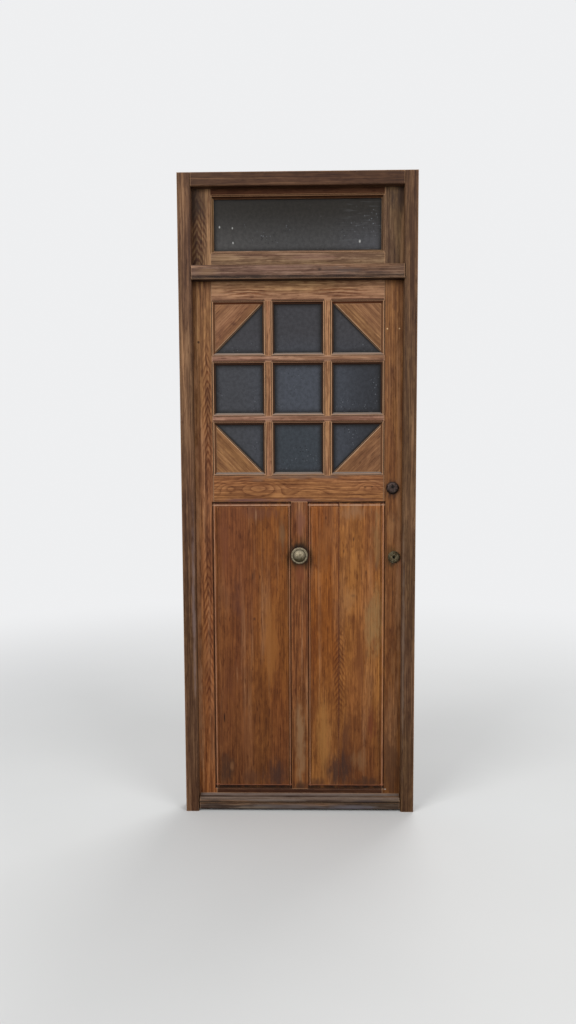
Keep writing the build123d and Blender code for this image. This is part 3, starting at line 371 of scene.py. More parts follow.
def bevelled(g, t, colour):
    """A corner panel's sloped edge: a painted highlight on its arris, and painted shade where it meets
    the glass.
    """
    arris = g.times(g.span(t.depth, BEVEL_BEGINS, BEVEL_ARRIS), t.front)
    colour = g.mix(g.times(arris, 0.7), colour, LIT_ARRIS)
    return g.mix(g.times(g.span(t.depth, BEVEL_ENDS, BEVEL_DARK), t.front), colour, SOOT_AND_SHADE)


def knob_shadow(g, t, colour):
    """The ring of old dirt and painted shadow close round the knob."""
    ring = g.times(g.spot(t.x, t.z, (KNOB.x, KNOB.z), KNOB_RING, KNOB_RING_FADES), t.front)
    return g.mix(g.times(ring, g.span(t.fray, 0.3, 0.6, 0.9, 0.55)), colour, KNOB_DIRT_AND_SHADOW)


def aged_and_shaded(g, t, colour, cove, upright):
    """The colour with its worn arrises, the dirt and painted shade of joints and recesses, the coves'
    dirt, dust and painted light and shade by which way they face, and with it how closed in each point
    is."""
    edge = g.span(g.closeness(ARRIS_REACH, inside=True), 0.10, 0.42)
    colour = g.mix(g.times(edge, WEAR), colour, WORN)
    if cove:
        up = g.split(g.node("ShaderNodeNewGeometry").outputs["True Normal"])[2]
        side_tone, top_tone = GLASS_COVE, GLASS_COVE_TOP
        if cove == "rim":
            along, middle = (t.z, LIGHT_ROWS[1]) if upright else (t.x, LIGHT_COLUMNS[1])
            away = g.away(along, sum(middle) / 2)
            half = (middle[1] - middle[0]) / 2
            wooden = g.span(away, half, half + MOULDING)
            side_tone = g.mix(wooden, side_tone, WOOD_COVE)
            top_tone = g.mix(wooden, top_tone, WOOD_COVE_TOP)
        # The coves' tone by which way they face: dirt and painted shade facing down or sideways, dust
        # and painted light from above facing up
        dirt = g.mix(g.span(up, -0.5, -0.1), top_tone, side_tone)
        dirt = g.mix(g.span(up, 0.1, 0.5), dirt, DUST_AND_TOP_LIGHT)
        sunk = g.times(g.span(t.depth, COVE_BEGINS, COVE_SUNK), t.front)
        colour = g.mix(g.times(sunk, 0.93), colour, dirt)
    # Dirt and painted shade in joints and creases, by how closed in each point is
    closed = g.span(g.closeness(JOINT_REACH), 0.30, 0.66)
    colour = g.mix(g.times(closed, 0.86), colour, GRIME_AND_SHADE)
    # Painted shade over the wider recesses
    recess_shade = g.span(g.closeness(SHADE_REACH), 0.35, 0.9)
    return g.mix(g.times(recess_shade, 0.4), colour, RECESS_SHADE, "MULTIPLY"), closed


def wood(name, grain, base, seed, low=None, pith=(0.0, 0.06), rings=0.008, figure=0.5, tilt=0.01,
         wander=0.010, streak=1.0, marks=(), lines=(), eyes=(), paint=None, rough=0.52, cove=None,
         over=None, gloss=0.17):
    """Old varnished timber.

    grain is x, z or an angle in degrees from z in the front view, and seed tells pieces apart.
    base is its colour, and low that at the leaf's foot. pith is where the rings' middle lies,
    across the grain and behind the leaf's face, with rings their spacing, tilt and wander how
    they lean and sway, eyes what they run round and figure how plain they are. streak is how
    strong the streaks are. marks are stains, and lines thin ones, both on the outer face; some of
    either are painted shade or painted light. cove is bar or rim where a moulding takes dirt, dust,
    painted shade and painted light from above beside the lights, and a rim's moulding
    also runs beside the wooden corners. paint and over colour it before and after its figure.
    rough is its middle roughness, and gloss how much its varnish mirrors.
    """
    g = Graph(name)
    t = Timber(g, grain, seed)
    colour = base
    if low:
        colour = g.mix(g.span(t.z, LEAF_FOOT, LEAF_TOP, 1.0, 0.0), base, low)
    if paint:
        colour = paint(g, t, colour)
    late = t.rings(pith, rings, tilt, wander, eyes)
    colour = heartwood(g, t, colour, late, figure, streak)
    for at, size, tone, amount in marks:
        colour = g.mix(g.times(t.stain(at, size), amount), colour, tone)
    broken = g.span(t.fray, 0.3, 0.6, 0.55, 1.0)
    for axis, at, half_width, tone, amount in lines:
        thin = g.line(t.x if axis == "x" else t.z, at, half_width)
        colour = g.mix(g.times(g.times(thin, broken), g.times(t.front, amount)), colour, tone)
    if cove:
        colour = beaded(g, t, colour, grain == "z")
    if over:
        colour = over(g, t, colour)
    colour, closed = aged_and_shaded(g, t, colour, cove, grain == "z")
    relief = g.add(g.times(t.fibres, 0.4), g.times(t.threads, 0.6))
    g.bump(g.less(relief, g.times(late, 0.3)), 0.35, 0.0007)
    dull = g.span(t.streaks, 0.25, 0.75, rough - 0.08, rough + 0.12)
    return g.finish(colour, g.most(dull, g.times(closed, 0.85)), Specular_IOR_Level=gloss)


def stile_joint(side):
    """The joint between a stile and the rails, as a line of dirt."""
    half_width = 0.0022
    return ("x", side * STILE_LINE, half_width, GRIME_AND_SHADE, 0.8)


def arches(g, t, colour, at, size, spacing, steep, amount=1.0):
    """Nested arches of the grain, one over the other, inside an ellipse of the front view; steep
    is how far their sides fall for each metre outward."""
    away = g.math("ABSOLUTE", g.add(g.less(t.x, at[0]), g.times(g.less(t.fray, 0.5), ARCH_SWAY)))
    arched = g.add(g.add(t.z, g.times(away, steep)), g.times(t.fray, spacing * 1.2))
    phase = g.math("FRACT", g.times(arched, 1 / spacing))
    arch = g.times(g.span(phase, 0.25, 0.6), g.span(phase, 0.75, 0.95, 1.0, 0.0))
    here = g.times(g.times(g.spot(t.x, t.z, at, size, 0.3), t.front), amount)
    return g.mix(g.times(arch, here), colour, ARCH_WOOD, "MULTIPLY")


def left_stile_figure(g, t, colour):
    """Tall arches up the hinge stile, beside the lights and beside the left panel."""
    colour = arches(g, t, colour, (-0.350, 1.58), (0.024, 0.42), 0.034, 2.6)
    return arches(g, t, colour, (-0.356, 0.72), (0.028, 0.55), 0.038, 2.8)


def left_sash_figure(g, t, colour):
    """Arches up the overlight's left stile."""
    return arches(g, t, colour, (-0.381, 2.25), (0.050, 0.19), 0.030, 1.9, 2.2)


def top_rail_figure(g, t, colour):
    """Flat arches in each half of the leaf's top rail."""
    colour = arches(g, t, colour, (-0.19, 2.03), (0.14, 0.030), 0.013, 0.10)
    return arches(g, t, colour, (0.16, 2.03), (0.16, 0.030), 0.013, 0.08)


def right_boards(g, t, colour):
    """The right panel's two boards: orange brown, then ochre with a darker foot, and the arches
    that run up their seam."""
    second = g.span(t.x, BOARD_SEAM - 0.001, BOARD_SEAM + 0.001)
    first_tone = g.mix(g.span(t.z, 0.25, 0.75), srgb(129, 83, 46), srgb(126, 74, 33))
    second_tone = g.mix(g.span(t.z, 0.15, 0.6), srgb(110, 68, 36), srgb(138, 90, 48))
    colour = g.mix(second, first_tone, second_tone)
    return arches(g, t, colour, (BOARD_SEAM + 0.002, 0.56), (0.034, 0.28), 0.024, 1.5, 0.85)


def left_board(g, t, colour):
    """The left panel: red brown at its left, orange brown towards its right, darker at its foot."""
    warm = g.mix(g.span(t.x, -0.25, -0.09), srgb(110, 66, 37), srgb(118, 71, 34))
    return g.mix(g.span(t.z, 0.1, 0.6, 0.65, 0.0), warm, srgb(98, 60, 35))


# Marks: the middle across and up, half the width and height, the tone, and how strong it is.
# A later mark lies over an earlier one. They follow the photograph's main knots and stains; some are
# painted shade or painted light instead, as said where they stand.
KNOT = srgb(62, 36, 22)
RED_KNOT = srgb(70, 36, 18)
PALE_FLECK = srgb(210, 176, 130)

RIGHT_PANEL_MARKS = [
    ((0.215, 1.086), (0.007, 0.024), RED_KNOT, 0.9),
    ((0.176, 1.038), (0.008, 0.018), RED_KNOT, 0.9),
    ((0.263, 0.952), (0.007, 0.022), RED_KNOT, 0.9),
    ((0.301, 0.975), (0.010, 0.034), srgb(96, 50, 28), 0.9),
    ((0.212, 0.861), (0.014, 0.012), RED_KNOT, 0.8),
    ((0.107, 1.168), (0.007, 0.012), RED_KNOT, 0.7),
    ((0.205, 0.845), (0.045, 0.090), srgb(154, 108, 66), 0.5),
    ((0.292, 0.76), (0.056, 0.24), srgb(140, 108, 68), 0.75),
    ((0.304, 1.08), (0.030, 0.20), srgb(122, 90, 56), 0.6),
    ((0.098, 0.29), (0.050, 0.26), srgb(152, 104, 54), 0.75),
    ((0.10, 1.05), (0.050, 0.16), srgb(120, 72, 36), 0.5),
    ((0.22, 1.19), (0.10, 0.05), srgb(142, 104, 74), 0.6),
    ((0.240, 0.60), (0.040, 0.20), srgb(108, 62, 32), 0.6),
    ((0.289, 0.346), (0.028, 0.12), srgb(98, 48, 28), 0.8),
    ((0.158, 0.160), (0.085, 0.13), srgb(54, 35, 30), 0.85),
    ((0.190, 0.30), (0.030, 0.16), srgb(86, 50, 30), 0.7),
    ((0.238, 0.198), (0.050, 0.070), srgb(124, 88, 58), 0.6),
    ((0.262, 0.105), (0.09, 0.040), srgb(62, 38, 26), 0.8),
    ((0.07, 0.10), (0.05, 0.04), srgb(78, 48, 32), 0.7),
]
LEFT_PANEL_MARKS = [
    ((-0.175, 0.769), (0.008, 0.012), KNOT, 0.9),
    ((-0.298, 0.369), (0.005, 0.030), srgb(36, 18, 10), 1.0),
    ((-0.181, 0.940), (0.005, 0.026), KNOT, 0.7),
    ((-0.247, 0.833), (0.045, 0.14), srgb(88, 50, 34), 0.7),
    ((-0.090, 0.140), (0.085, 0.10), srgb(60, 39, 32), 0.8),
    ((-0.290, 0.150), (0.060, 0.12), srgb(58, 37, 26), 0.8),
    ((-0.270, 0.170), (0.014, 0.030), srgb(146, 100, 64), 0.4),
    ((-0.19, 0.125), (0.07, 0.05), srgb(84, 50, 32), 0.7),
    ((-0.107, 0.660), (0.050, 0.30), srgb(138, 86, 40), 0.8),
    ((-0.21, 0.30), (0.05, 0.18), srgb(122, 74, 42), 0.5),
    ((-0.266, 0.52), (0.060, 0.24), srgb(100, 56, 32), 0.6),
    ((-0.064, 1.10), (0.020, 0.16), srgb(104, 80, 56), 0.6),
    ((-0.295, 1.08), (0.040, 0.20), srgb(104, 58, 36), 0.6),
    ((-0.15, 1.19), (0.12, 0.05), srgb(96, 58, 42), 0.6),
    ((-0.166, 1.176), (0.005, 0.06), WORN, 0.3),
    ((-0.245, 0.54), (0.007, 0.06), WORN, 0.3),
]
# Round the knob: a brown halo and a dark ring of dirt and painted shadow, and a reddish spot
KNOB_HALO = [
    ((KNOB.x, KNOB.z), (0.085, 0.105), srgb(60, 40, 18), 0.7),
    ((KNOB.x, KNOB.z), (0.068, 0.070), srgb(22, 13, 5), 1.0),
    ((0.042, 1.070), (0.010, 0.010), srgb(118, 66, 62), 0.9),
]
MUNTIN_MARKS = [
    ((0.006, 1.15), (0.030, 0.09), srgb(112, 70, 54), 0.8),
    ((0.004, 0.95), (0.026, 0.07), srgb(112, 62, 38), 0.7),
    ((0.004, 0.27), (0.036, 0.28), srgb(132, 98, 68), 0.95),
    ((0.004, 0.085), (0.060, 0.040), srgb(66, 42, 28), 0.9),
]


def field_light_and_shade_lines(sides):
    """The painted shade round a panel's field, in its groove, and the pale line of wear and painted
    highlight on the field's arris, inside it. A line is across x or z, and has its place, half its
    width, its tone and how strong it is."""
    dark, pale = srgb(50, 25, 13), srgb(184, 132, 98)
    return [
        ("x", sides[0] + PANEL_HOLD + 0.001, 0.0034, dark, 0.95),
        ("x", sides[0] + PANEL_HOLD + 0.007, 0.0030, pale, 0.75),
        ("x", sides[1] - PANEL_HOLD - 0.007, 0.0030, pale, 0.75),
        ("x", sides[1] - PANEL_HOLD - 0.001, 0.0034, dark, 0.95),
        ("z", PANEL_TOP - PANEL_HOLD - 0.003, 0.0075, dark, 0.9),
        ("z", PANEL_TOP - PANEL_HOLD - 0.013, 0.0036, srgb(176, 138, 112), 0.85),
        ("z", PANEL_FOOT + PANEL_HOLD + 0.004, 0.0080, SOOT_AND_SHADE, 0.9),
        ("z", PANEL_FOOT + PANEL_HOLD + 0.014, 0.0034, srgb(160, 98, 72), 0.8),
    ]


SEAM_LINE = [("x", BOARD_SEAM, 0.0030, srgb(78, 32, 18), 0.85)]
# Round the locks: dark rings set low and to the side, of dirt and the cylinders' painted shadow, an
# olive tint and a reddish streak
LOCK_HALOES = [
    ((UPPER_LOCK.x, UPPER_LOCK.z - 0.004), (0.056, 0.060), srgb(40, 22, 12), 0.95),
    ((LOWER_LOCK.x - 0.003, LOWER_LOCK.z), (0.060, 0.066), srgb(74, 52, 22), 0.85),
    ((LOWER_LOCK.x + 0.004, LOWER_LOCK.z - 0.008), (0.044, 0.048), srgb(26, 16, 8), 0.95),
    ((LOWER_LOCK.x + 0.024, LOWER_LOCK.z - 0.035), (0.016, 0.06), srgb(108, 46, 32), 0.5),
]
RIGHT_STILE_MARKS = LOCK_HALOES + [
    ((0.341, 1.891), (0.0050, 0.0050), PALE_FLECK, 1.0),
    ((0.386, 1.891), (0.0050, 0.0050), PALE_FLECK, 1.0),
    ((0.369, 1.158), (0.007, 0.014), KNOT, 0.9),
    ((0.390, 1.166), (0.005, 0.008), KNOT, 0.8),
    ((0.369, 0.870), (0.005, 0.022), KNOT, 0.7),
    ((0.360, 1.13), (0.030, 0.10), srgb(142, 102, 66), 0.5),
    # A long pale strip by the jamb: painted light that lifts the jamb's shade
    ((0.388, 1.1), (0.016, 1.3), srgb(158, 112, 76), 0.6),
    ((0.372, 0.60), (0.020, 0.12), srgb(134, 92, 56), 0.5),
    ((0.36, 0.16), (0.070, 0.26), srgb(78, 48, 28), 0.8),
    ((0.342, 0.078), (0.006, 0.006), srgb(200, 190, 175), 0.9),
]
LEFT_STILE_MARKS = [
    ((-0.381, 1.845), (0.008, 0.008), KNOT, 0.95),
    ((-0.352, 1.20), (0.012, 0.05), srgb(84, 50, 30), 0.7),
    # A long pale strip by the jamb: painted light that lifts the jamb's shade
    ((-0.395, 0.9), (0.018, 1.4), srgb(176, 128, 92), 0.7),
    ((-0.37, 0.62), (0.030, 0.14), srgb(146, 96, 58), 0.5),
]
LOCK_RAIL_MARKS = [
    ((0.0, LIGHTS_FOOT - 0.017), (0.32, 0.016), srgb(98, 80, 70), 0.7),
    ((0.258, 1.288), (0.008, 0.006), KNOT, 0.9),
    ((0.285, 1.290), (0.008, 0.005), KNOT, 0.8),
    ((-0.165, 1.318), (0.05, 0.012), srgb(112, 84, 66), 0.5),
    ((-0.19, 1.238), (0.20, 0.012), srgb(92, 62, 62), 0.75),
    ((0.0, 1.236), (0.10, 0.014), srgb(92, 60, 56), 0.75),
    ((0.24, 1.240), (0.12, 0.010), srgb(100, 64, 50), 0.6),
]
# Eyes of the grain: the middle, half the width and height, and how many rings run round it
LOCK_RAIL_EYES = [
    ((-0.155, 1.290), (0.150, 0.050), 4.0),
    ((-0.275, 1.287), (0.060, 0.040), 2.0),
    ((0.05, 1.275), (0.11, 0.030), 1.5),
    ((0.272, 1.289), (0.06, 0.035), 2.0),
]
TRANSOM_MARKS = [
    ((0.082, 2.106), (0.016, 0.012), srgb(44, 32, 26), 1.0),
    ((0.19, 2.104), (0.18, 0.020), srgb(78, 68, 64), 0.75),
    ((-0.09, 2.112), (0.20, 0.020), srgb(134, 102, 88), 0.4),
    ((-0.34, 2.10), (0.08, 0.020), srgb(120, 92, 66), 0.6),
    ((0.27, 2.094), (0.12, 0.010), srgb(56, 40, 34), 0.8),
    ((-0.20, 2.092), (0.16, 0.010), srgb(84, 58, 46), 0.7),
]
# Painted shade along the transom's lower edge, under its lip
LIP_SHADE = [("z", TRANSOM_FOOT + 0.004, 0.015, srgb(24, 15, 13), 1.0)]
SASH_FOOT_MARKS = [
    ((0.06, 2.160), (0.18, 0.024), srgb(132, 98, 84), 0.4),
    ((-0.27, 2.162), (0.10, 0.024), srgb(146, 116, 84), 0.45),
]
CORNER_FLECKS = [
    ((-0.245, 1.915), (0.020, 0.012), srgb(78, 46, 30), 0.8),
    ((-0.300, 1.868), (0.012, 0.016), srgb(84, 50, 34), 0.7),
]
# The weatherboard's nose, where its slope meets its upright face
NOSE = BOARD_FOOT + 0.0355
# The weatherboard's lines: pale painted light on its top and on its slope above the nose, painted shade
# under the nose and along its foot
BOARD_LIGHT_AND_SHADE_LINES = [
    ("z", NOSE + 0.0075, 0.0035, srgb(120, 104, 92), 0.8),
    ("z", NOSE - 0.009, 0.004, SOOT_AND_SHADE, 0.9),
    ("z", BOARD_TOP - 0.003, 0.003, srgb(120, 106, 98), 0.7),
    ("z", BOARD_FOOT + 0.002, 0.004, SOOT_AND_SHADE, 0.8),
]
BOARD_MARKS = [
    ((0.0, 0.016), (0.50, 0.020), srgb(94, 86, 84), 0.75),
    ((-0.20, 0.014), (0.16, 0.012), srgb(112, 98, 84), 0.9),
    ((0.20, 0.016), (0.20, 0.014), srgb(92, 86, 90), 0.9),
    ((0.05, 0.012), (0.06, 0.012), srgb(56, 46, 46), 0.8),
    ((-0.10, 0.047), (0.24, 0.008), srgb(106, 94, 86), 0.7),
    ((0.28, 0.045), (0.12, 0.010), srgb(60, 50, 50), 0.8),
    ((-0.34, 0.03), (0.05, 0.03), srgb(62, 50, 42), 0.7),
]

# The timber pieces
BAR = srgb(146, 109, 84)
CROSS = srgb(142, 110, 98)
STILE_JOINTS = [stile_joint(-1), stile_joint(1)]
members = {
    # The jambs, the head, and the overlight's stiles and top rail are toned darker than the leaf, the
    # top rail darkest, as painted shade of the deep reveal round them; the dark marks at the tops of
    # the overlight's stiles are painted shade too
    "frame_jamb_hinge_side": wood("jamb_left", "z", srgb(88, 64, 47), 1.1, pith=(-0.6, 0.1),
                                  marks=[((-0.408, 0.85), (0.012, 0.60), srgb(116, 96, 90), 0.7)]),
    "frame_jamb_lock_side": wood("jamb_right", "z", srgb(86, 63, 46), 2.3, pith=(0.7, 0.1),
                                 marks=[((0.405, 0.70), (0.009, 0.80), srgb(114, 97, 84), 0.5)]),
    "frame_head": wood("head", "x", srgb(70, 48, 34), 3.7, pith=(2.5, 0.1)),
    "frame_transom": wood("transom", "x", srgb(112, 91, 79), 4.1, pith=(2.09, 0.05), tilt=0.02,
                          rings=0.013, marks=TRANSOM_MARKS, lines=LIP_SHADE),
    "overlight_stile_left": wood("sash_left", "z", srgb(105, 81, 58), 5.9, pith=(-0.36, 0.04),
                                 tilt=0.12, rings=0.013, figure=0.85, paint=left_sash_figure,
                                 marks=[((-0.39, 2.36), (0.07, 0.10), srgb(44, 29, 20), 0.9)]),
    "overlight_stile_right": wood("sash_right", "z", srgb(93, 73, 56), 6.3, pith=(0.55, 0.08),
                                  marks=[((0.39, 2.38), (0.07, 0.09), srgb(48, 32, 24), 0.85)]),
    "overlight_top_rail": wood("sash_top", "x", srgb(62, 38, 24), 7.7, pith=(2.6, 0.1), streak=0.12,
                               gloss=0.05),
    "overlight_bottom_rail": wood("sash_bottom", "x", srgb(122, 100, 84), 8.1, pith=(2.14, 0.05),
                                  rings=0.012, marks=SASH_FOOT_MARKS),
    "leaf_stile_hinge_side": wood("stile_left", "z", srgb(129, 93, 65), 9.5,
                                  low=srgb(137, 86, 51), pith=(-0.345, 0.04), rings=0.014,
                                  figure=0.8, wander=0.018, paint=left_stile_figure,
                                  marks=LEFT_STILE_MARKS, lines=[stile_joint(-1)], cove="rim"),
    "leaf_stile_lock_side": wood("stile_right", "z", srgb(115, 77, 48), 10.9,
                                 low=srgb(114, 74, 38), pith=(0.6, 0.1), marks=RIGHT_STILE_MARKS,
                                 lines=[stile_joint(1)], streak=0.85, cove="rim"),
    "leaf_top_rail": wood("top_rail", "x", srgb(149, 116, 90), 11.3, pith=(2.03, 0.04), rings=0.014,
                          figure=0.65, wander=0.015, streak=0.75, paint=top_rail_figure,
                          lines=STILE_JOINTS, cove="rim"),
    "leaf_lock_rail": wood("lock_rail", "x", srgb(140, 97, 65), 12.7, pith=(1.33, 0.05),
                           rings=0.013, figure=1.0, eyes=LOCK_RAIL_EYES, marks=LOCK_RAIL_MARKS,
                           lines=STILE_JOINTS, cove="rim"),
    "leaf_bottom_rail": wood("bottom_rail", "x", srgb(62, 36, 22), 13.1, streak=0.6),
    "leaf_muntin": wood("muntin", "z", srgb(115, 67, 37), 14.9, low=srgb(120, 77, 45),
                        pith=(0.12, 0.08), marks=KNOB_HALO + MUNTIN_MARKS,
                        over=knob_shadow),
    "glazing_bar_upright_left": wood("bar_left", "z", BAR, 15.5, pith=(-0.3, 0.06), cove="bar"),
    "glazing_bar_upright_right": wood("bar_right", "z", BAR, 16.1, pith=(0.3, 0.05), cove="bar"),
    "glazing_bar_cross_lower": wood("bar_lower", "x", CROSS, 17.7, pith=(1.7, 0.06), cove="bar"),
    "glazing_bar_cross_upper": wood("bar_upper", "x", CROSS, 18.3, pith=(1.6, 0.06), cove="bar"),
    "corner_panel_upper_left": wood("corner_ul", 45, srgb(122, 86, 62), 19.9, pith=(-1.6, 0.05),
                                    rings=0.011, streak=0.5, marks=CORNER_FLECKS, over=bevelled),
    "corner_panel_upper_right": wood("corner_ur", -45, srgb(128, 93, 65), 20.3, pith=(1.62, 0.05),
                                     rings=0.011, figure=0.7, streak=0.5, over=bevelled),
    "corner_panel_lower_left": wood("corner_ll", -45, srgb(132, 95, 66), 21.7, pith=(0.80, 0.03),
                                    rings=0.012, figure=0.75, wander=0.02, streak=0.5,
                                    over=bevelled),
    "corner_panel_lower_right": wood("corner_lr", 45, srgb(122, 88, 60), 22.1, pith=(-0.82, 0.05),
                                     rings=0.011, streak=0.5, over=bevelled),
    "lower_panel_left": wood("panel_left", "z", srgb(112, 67, 36), 23.5, pith=(-0.2, 0.16),
                             figure=0.3, streak=0.65, paint=left_board,
                             marks=LEFT_PANEL_MARKS + KNOB_HALO, lines=field_light_and_shade_lines(LEFT_PANEL),
                             over=knob_shadow),
    "lower_panel_right": wood("panel_right", "z", srgb(128, 82, 45), 24.9, pith=(0.2, 0.16),
                              figure=0.3, streak=0.65, paint=right_boards,
                              marks=RIGHT_PANEL_MARKS + KNOB_HALO,
                              lines=field_light_and_shade_lines(RIGHT_PANEL) + SEAM_LINE,
                              over=knob_shadow),
    "weatherboard": wood("weatherboard", "x", srgb(78, 67, 61), 25.3, pith=(0.02, 0.12),
                         streak=1.3, rough=0.7, marks=BOARD_MARKS, lines=BOARD_LIGHT_AND_SHADE_LINES),
    "leaf_glazing_beads": wood("beads", "z", srgb(124, 86, 58), 26.7, pith=(0.5, 0.2)),
    "overlight_glazing_beads": wood("sash_beads", "x", srgb(116, 86, 64), 27.1, pith=(3.0, 0.2)),
}
for node, material in members.items():
    dress(node, material)


# Glass


SPECK, PIT = srgb(146, 150, 158), srgb(26, 27, 30)
GLASS_DUST, GLASS_EDGE_SHADE = srgb(136, 138, 140), srgb(20, 17, 13)
DRIED_PAINT, RIPPLE_HIGHLIGHT = srgb(176, 176, 172), srgb(130, 132, 136)
DIM = (0.70, 0.70, 0.70)
EDGE_REACH = 0.022
DUST_HEIGHT = 0.006
CORNER_SHADOW = 0.017, 0.005


def glass(name, tones, high, ripple_from, dust_foot, spotted, drops=(), corners=None, shade=None):
    """Obscure glass before a dark room: tones are its colours at the left, middle and right, high
    its colour at the top with the heights it blends between, ripple_from where its ripples begin
    across, dust_foot the height that its dust lies on, spotted the patches with many pale specks,
    drops spots of dried paint, corners the middle of the lights with how far from it the wooden
    corners begin, across and up together, and shade one patch of another tone. The glass takes
    dirt and painted shade along its wooden edges, a painted shadow beside the wooden corners and a
    painted highlight on its ripples' crests."""
    g = Graph(name)
    x, y, z = g.split(g.place)
    left, middle, right = tones
    body = g.mix(g.span(x, -0.25, 0.0), left, middle)
    body = g.mix(g.span(x, 0.08, 0.3), body, right)
    top_tone, low, top = high
    body = g.mix(g.span(z, low, top), body, top_tone)
    if shade:
        at, size, tone, amount = shade
        body = g.mix(g.times(g.spot(x, z, at, size, 0.5), amount), body, tone)
    mottle = g.noise(g.place, 75.0, 3.0, 0.6)
    body = g.mix(g.span(mottle, 0.3, 0.7), g.mix(1.0, body, DIM, "MULTIPLY"), body)
    specks = g.span(g.cells(g.place, 75.0), 0.06, 0.22, 1.0, 0.0)
    where = g.span(g.noise(g.place, 8.0), 0.52, 0.70)
    for at, size in spotted:
        where = g.most(where, g.spot(x, z, at, size, 0.1))
    body = g.mix(g.times(g.times(specks, where), 0.55), body, SPECK)
    pits = g.span(g.cells(g.place, 95.0), 0.12, 0.34, 1.0, 0.0)
    body = g.mix(g.times(g.times(pits, where), 0.75), body, PIT)
    if dust_foot is not None:
        dust = g.span(z, dust_foot, dust_foot + DUST_HEIGHT, 0.75, 0.0)
        body = g.mix(dust, body, GLASS_DUST)
    for at, size in drops:
        body = g.mix(g.spot(x, z, at, (size, size * 1.6), 0.2), body, DRIED_PAINT)
    # Dirt and painted shade on the glass along its wooden edges, and painted shadow beside the wooden
    # corners
    edge = g.span(g.closeness(EDGE_REACH), 0.06, 0.24)
    if corners:
        (middle_x, middle_z), begin = corners
        out = g.add(g.away(x, middle_x), g.away(z, middle_z))
        edge = g.most(edge, g.span(out, begin - CORNER_SHADOW[0], begin - CORNER_SHADOW[1]))
    body = g.mix(g.times(edge, 0.9), body, GLASS_EDGE_SHADE)
    hammered = g.noise(g.place, 240.0)
    if ripple_from is not None:
        wave = g.noise(g.vector(g.times(x, 14.0), y, g.times(z, 130.0)), 1.0)
        ripple = g.span(x, ripple_from, 0.26)
        hammered = g.add(hammered, g.times(g.times(wave, 4.0), ripple))
        # Painted highlight on the ripples' crests
        crest_highlight = g.times(g.span(wave, 0.56, 0.68), g.times(ripple, 0.14))
        body = g.mix(crest_highlight, body, RIPPLE_HIGHLIGHT)
    g.bump(hammered, 0.4, 0.0009)
    return g.finish(body, 0.34, Transmission_Weight=0.25, IOR=1.36, Specular_IOR_Level=0.28)


# Speckled patches: the middle, and half the width and height
LEAF_GLASS_SPOTS = [
    ((0.010, 1.42), (0.07, 0.07)),
    ((0.30, 1.66), (0.05, 0.09)),
    ((0.20, 1.80), (0.03, 0.03)),
]
SASH_GLASS_SPOTS = [
    ((-0.12, 2.235), (0.10, 0.04)),
    ((0.18, 2.27), (0.07, 0.05)),
    ((0.28, 2.29), (0.06, 0.08)),
]
# Drops of paint: the middle, and half the width
PAINT_DROPS = [
    ((-0.297, 2.278), 0.0040),
    ((-0.248, 2.274), 0.0034),
    ((-0.246, 2.219), 0.0038),
    ((0.236, 2.221), 0.0050),
]
# The green grey patch in the lower middle light: the middle, half sizes, tone and strength
LIGHT_SHADE = (LIGHTS_MIDDLE[0], LIGHTS_FOOT + 0.09), (0.15, 0.14), srgb(50, 58, 63), 0.6
leaf_glass = glass("obscure_glass", (srgb(70, 71, 76), srgb(76, 80, 89), srgb(50, 52, 58)),
                   (srgb(65, 64, 68), 1.72, 1.90), None, LIGHTS_FOOT, LEAF_GLASS_SPOTS,
                   corners=(LIGHTS_MIDDLE, CORNERS_BEGIN), shade=LIGHT_SHADE)
# The overlight's glass grows darker towards its top: a painted reflection of the shaded head above it
sash_glass = glass("overlight_glass", (srgb(78, 76, 75), srgb(74, 73, 73), srgb(76, 76, 80)),
                   (srgb(38, 34, 29), OVERLIGHT_FOOT, OVERLIGHT_TOP - 0.03), 0.12, None,
                   SASH_GLASS_SPOTS, PAINT_DROPS)
for row in ("lower", "middle", "upper"):
    for column in ("left", "centre", "right"):
        dress(f"pane_{row}_{column}", leaf_glass)
dress("overlight_pane", sash_glass)


# Metal


CRUST, KEYHOLE_SHADE_AND_DIRT = srgb(156, 152, 128), srgb(14, 14, 10)
KEYHOLE_SIZE, CRUST_INSIDE = (0.0062, 0.0082), (0.0120, 0.0120)
RECESS_REACH, SHINE_REACH = 0.006, 0.003


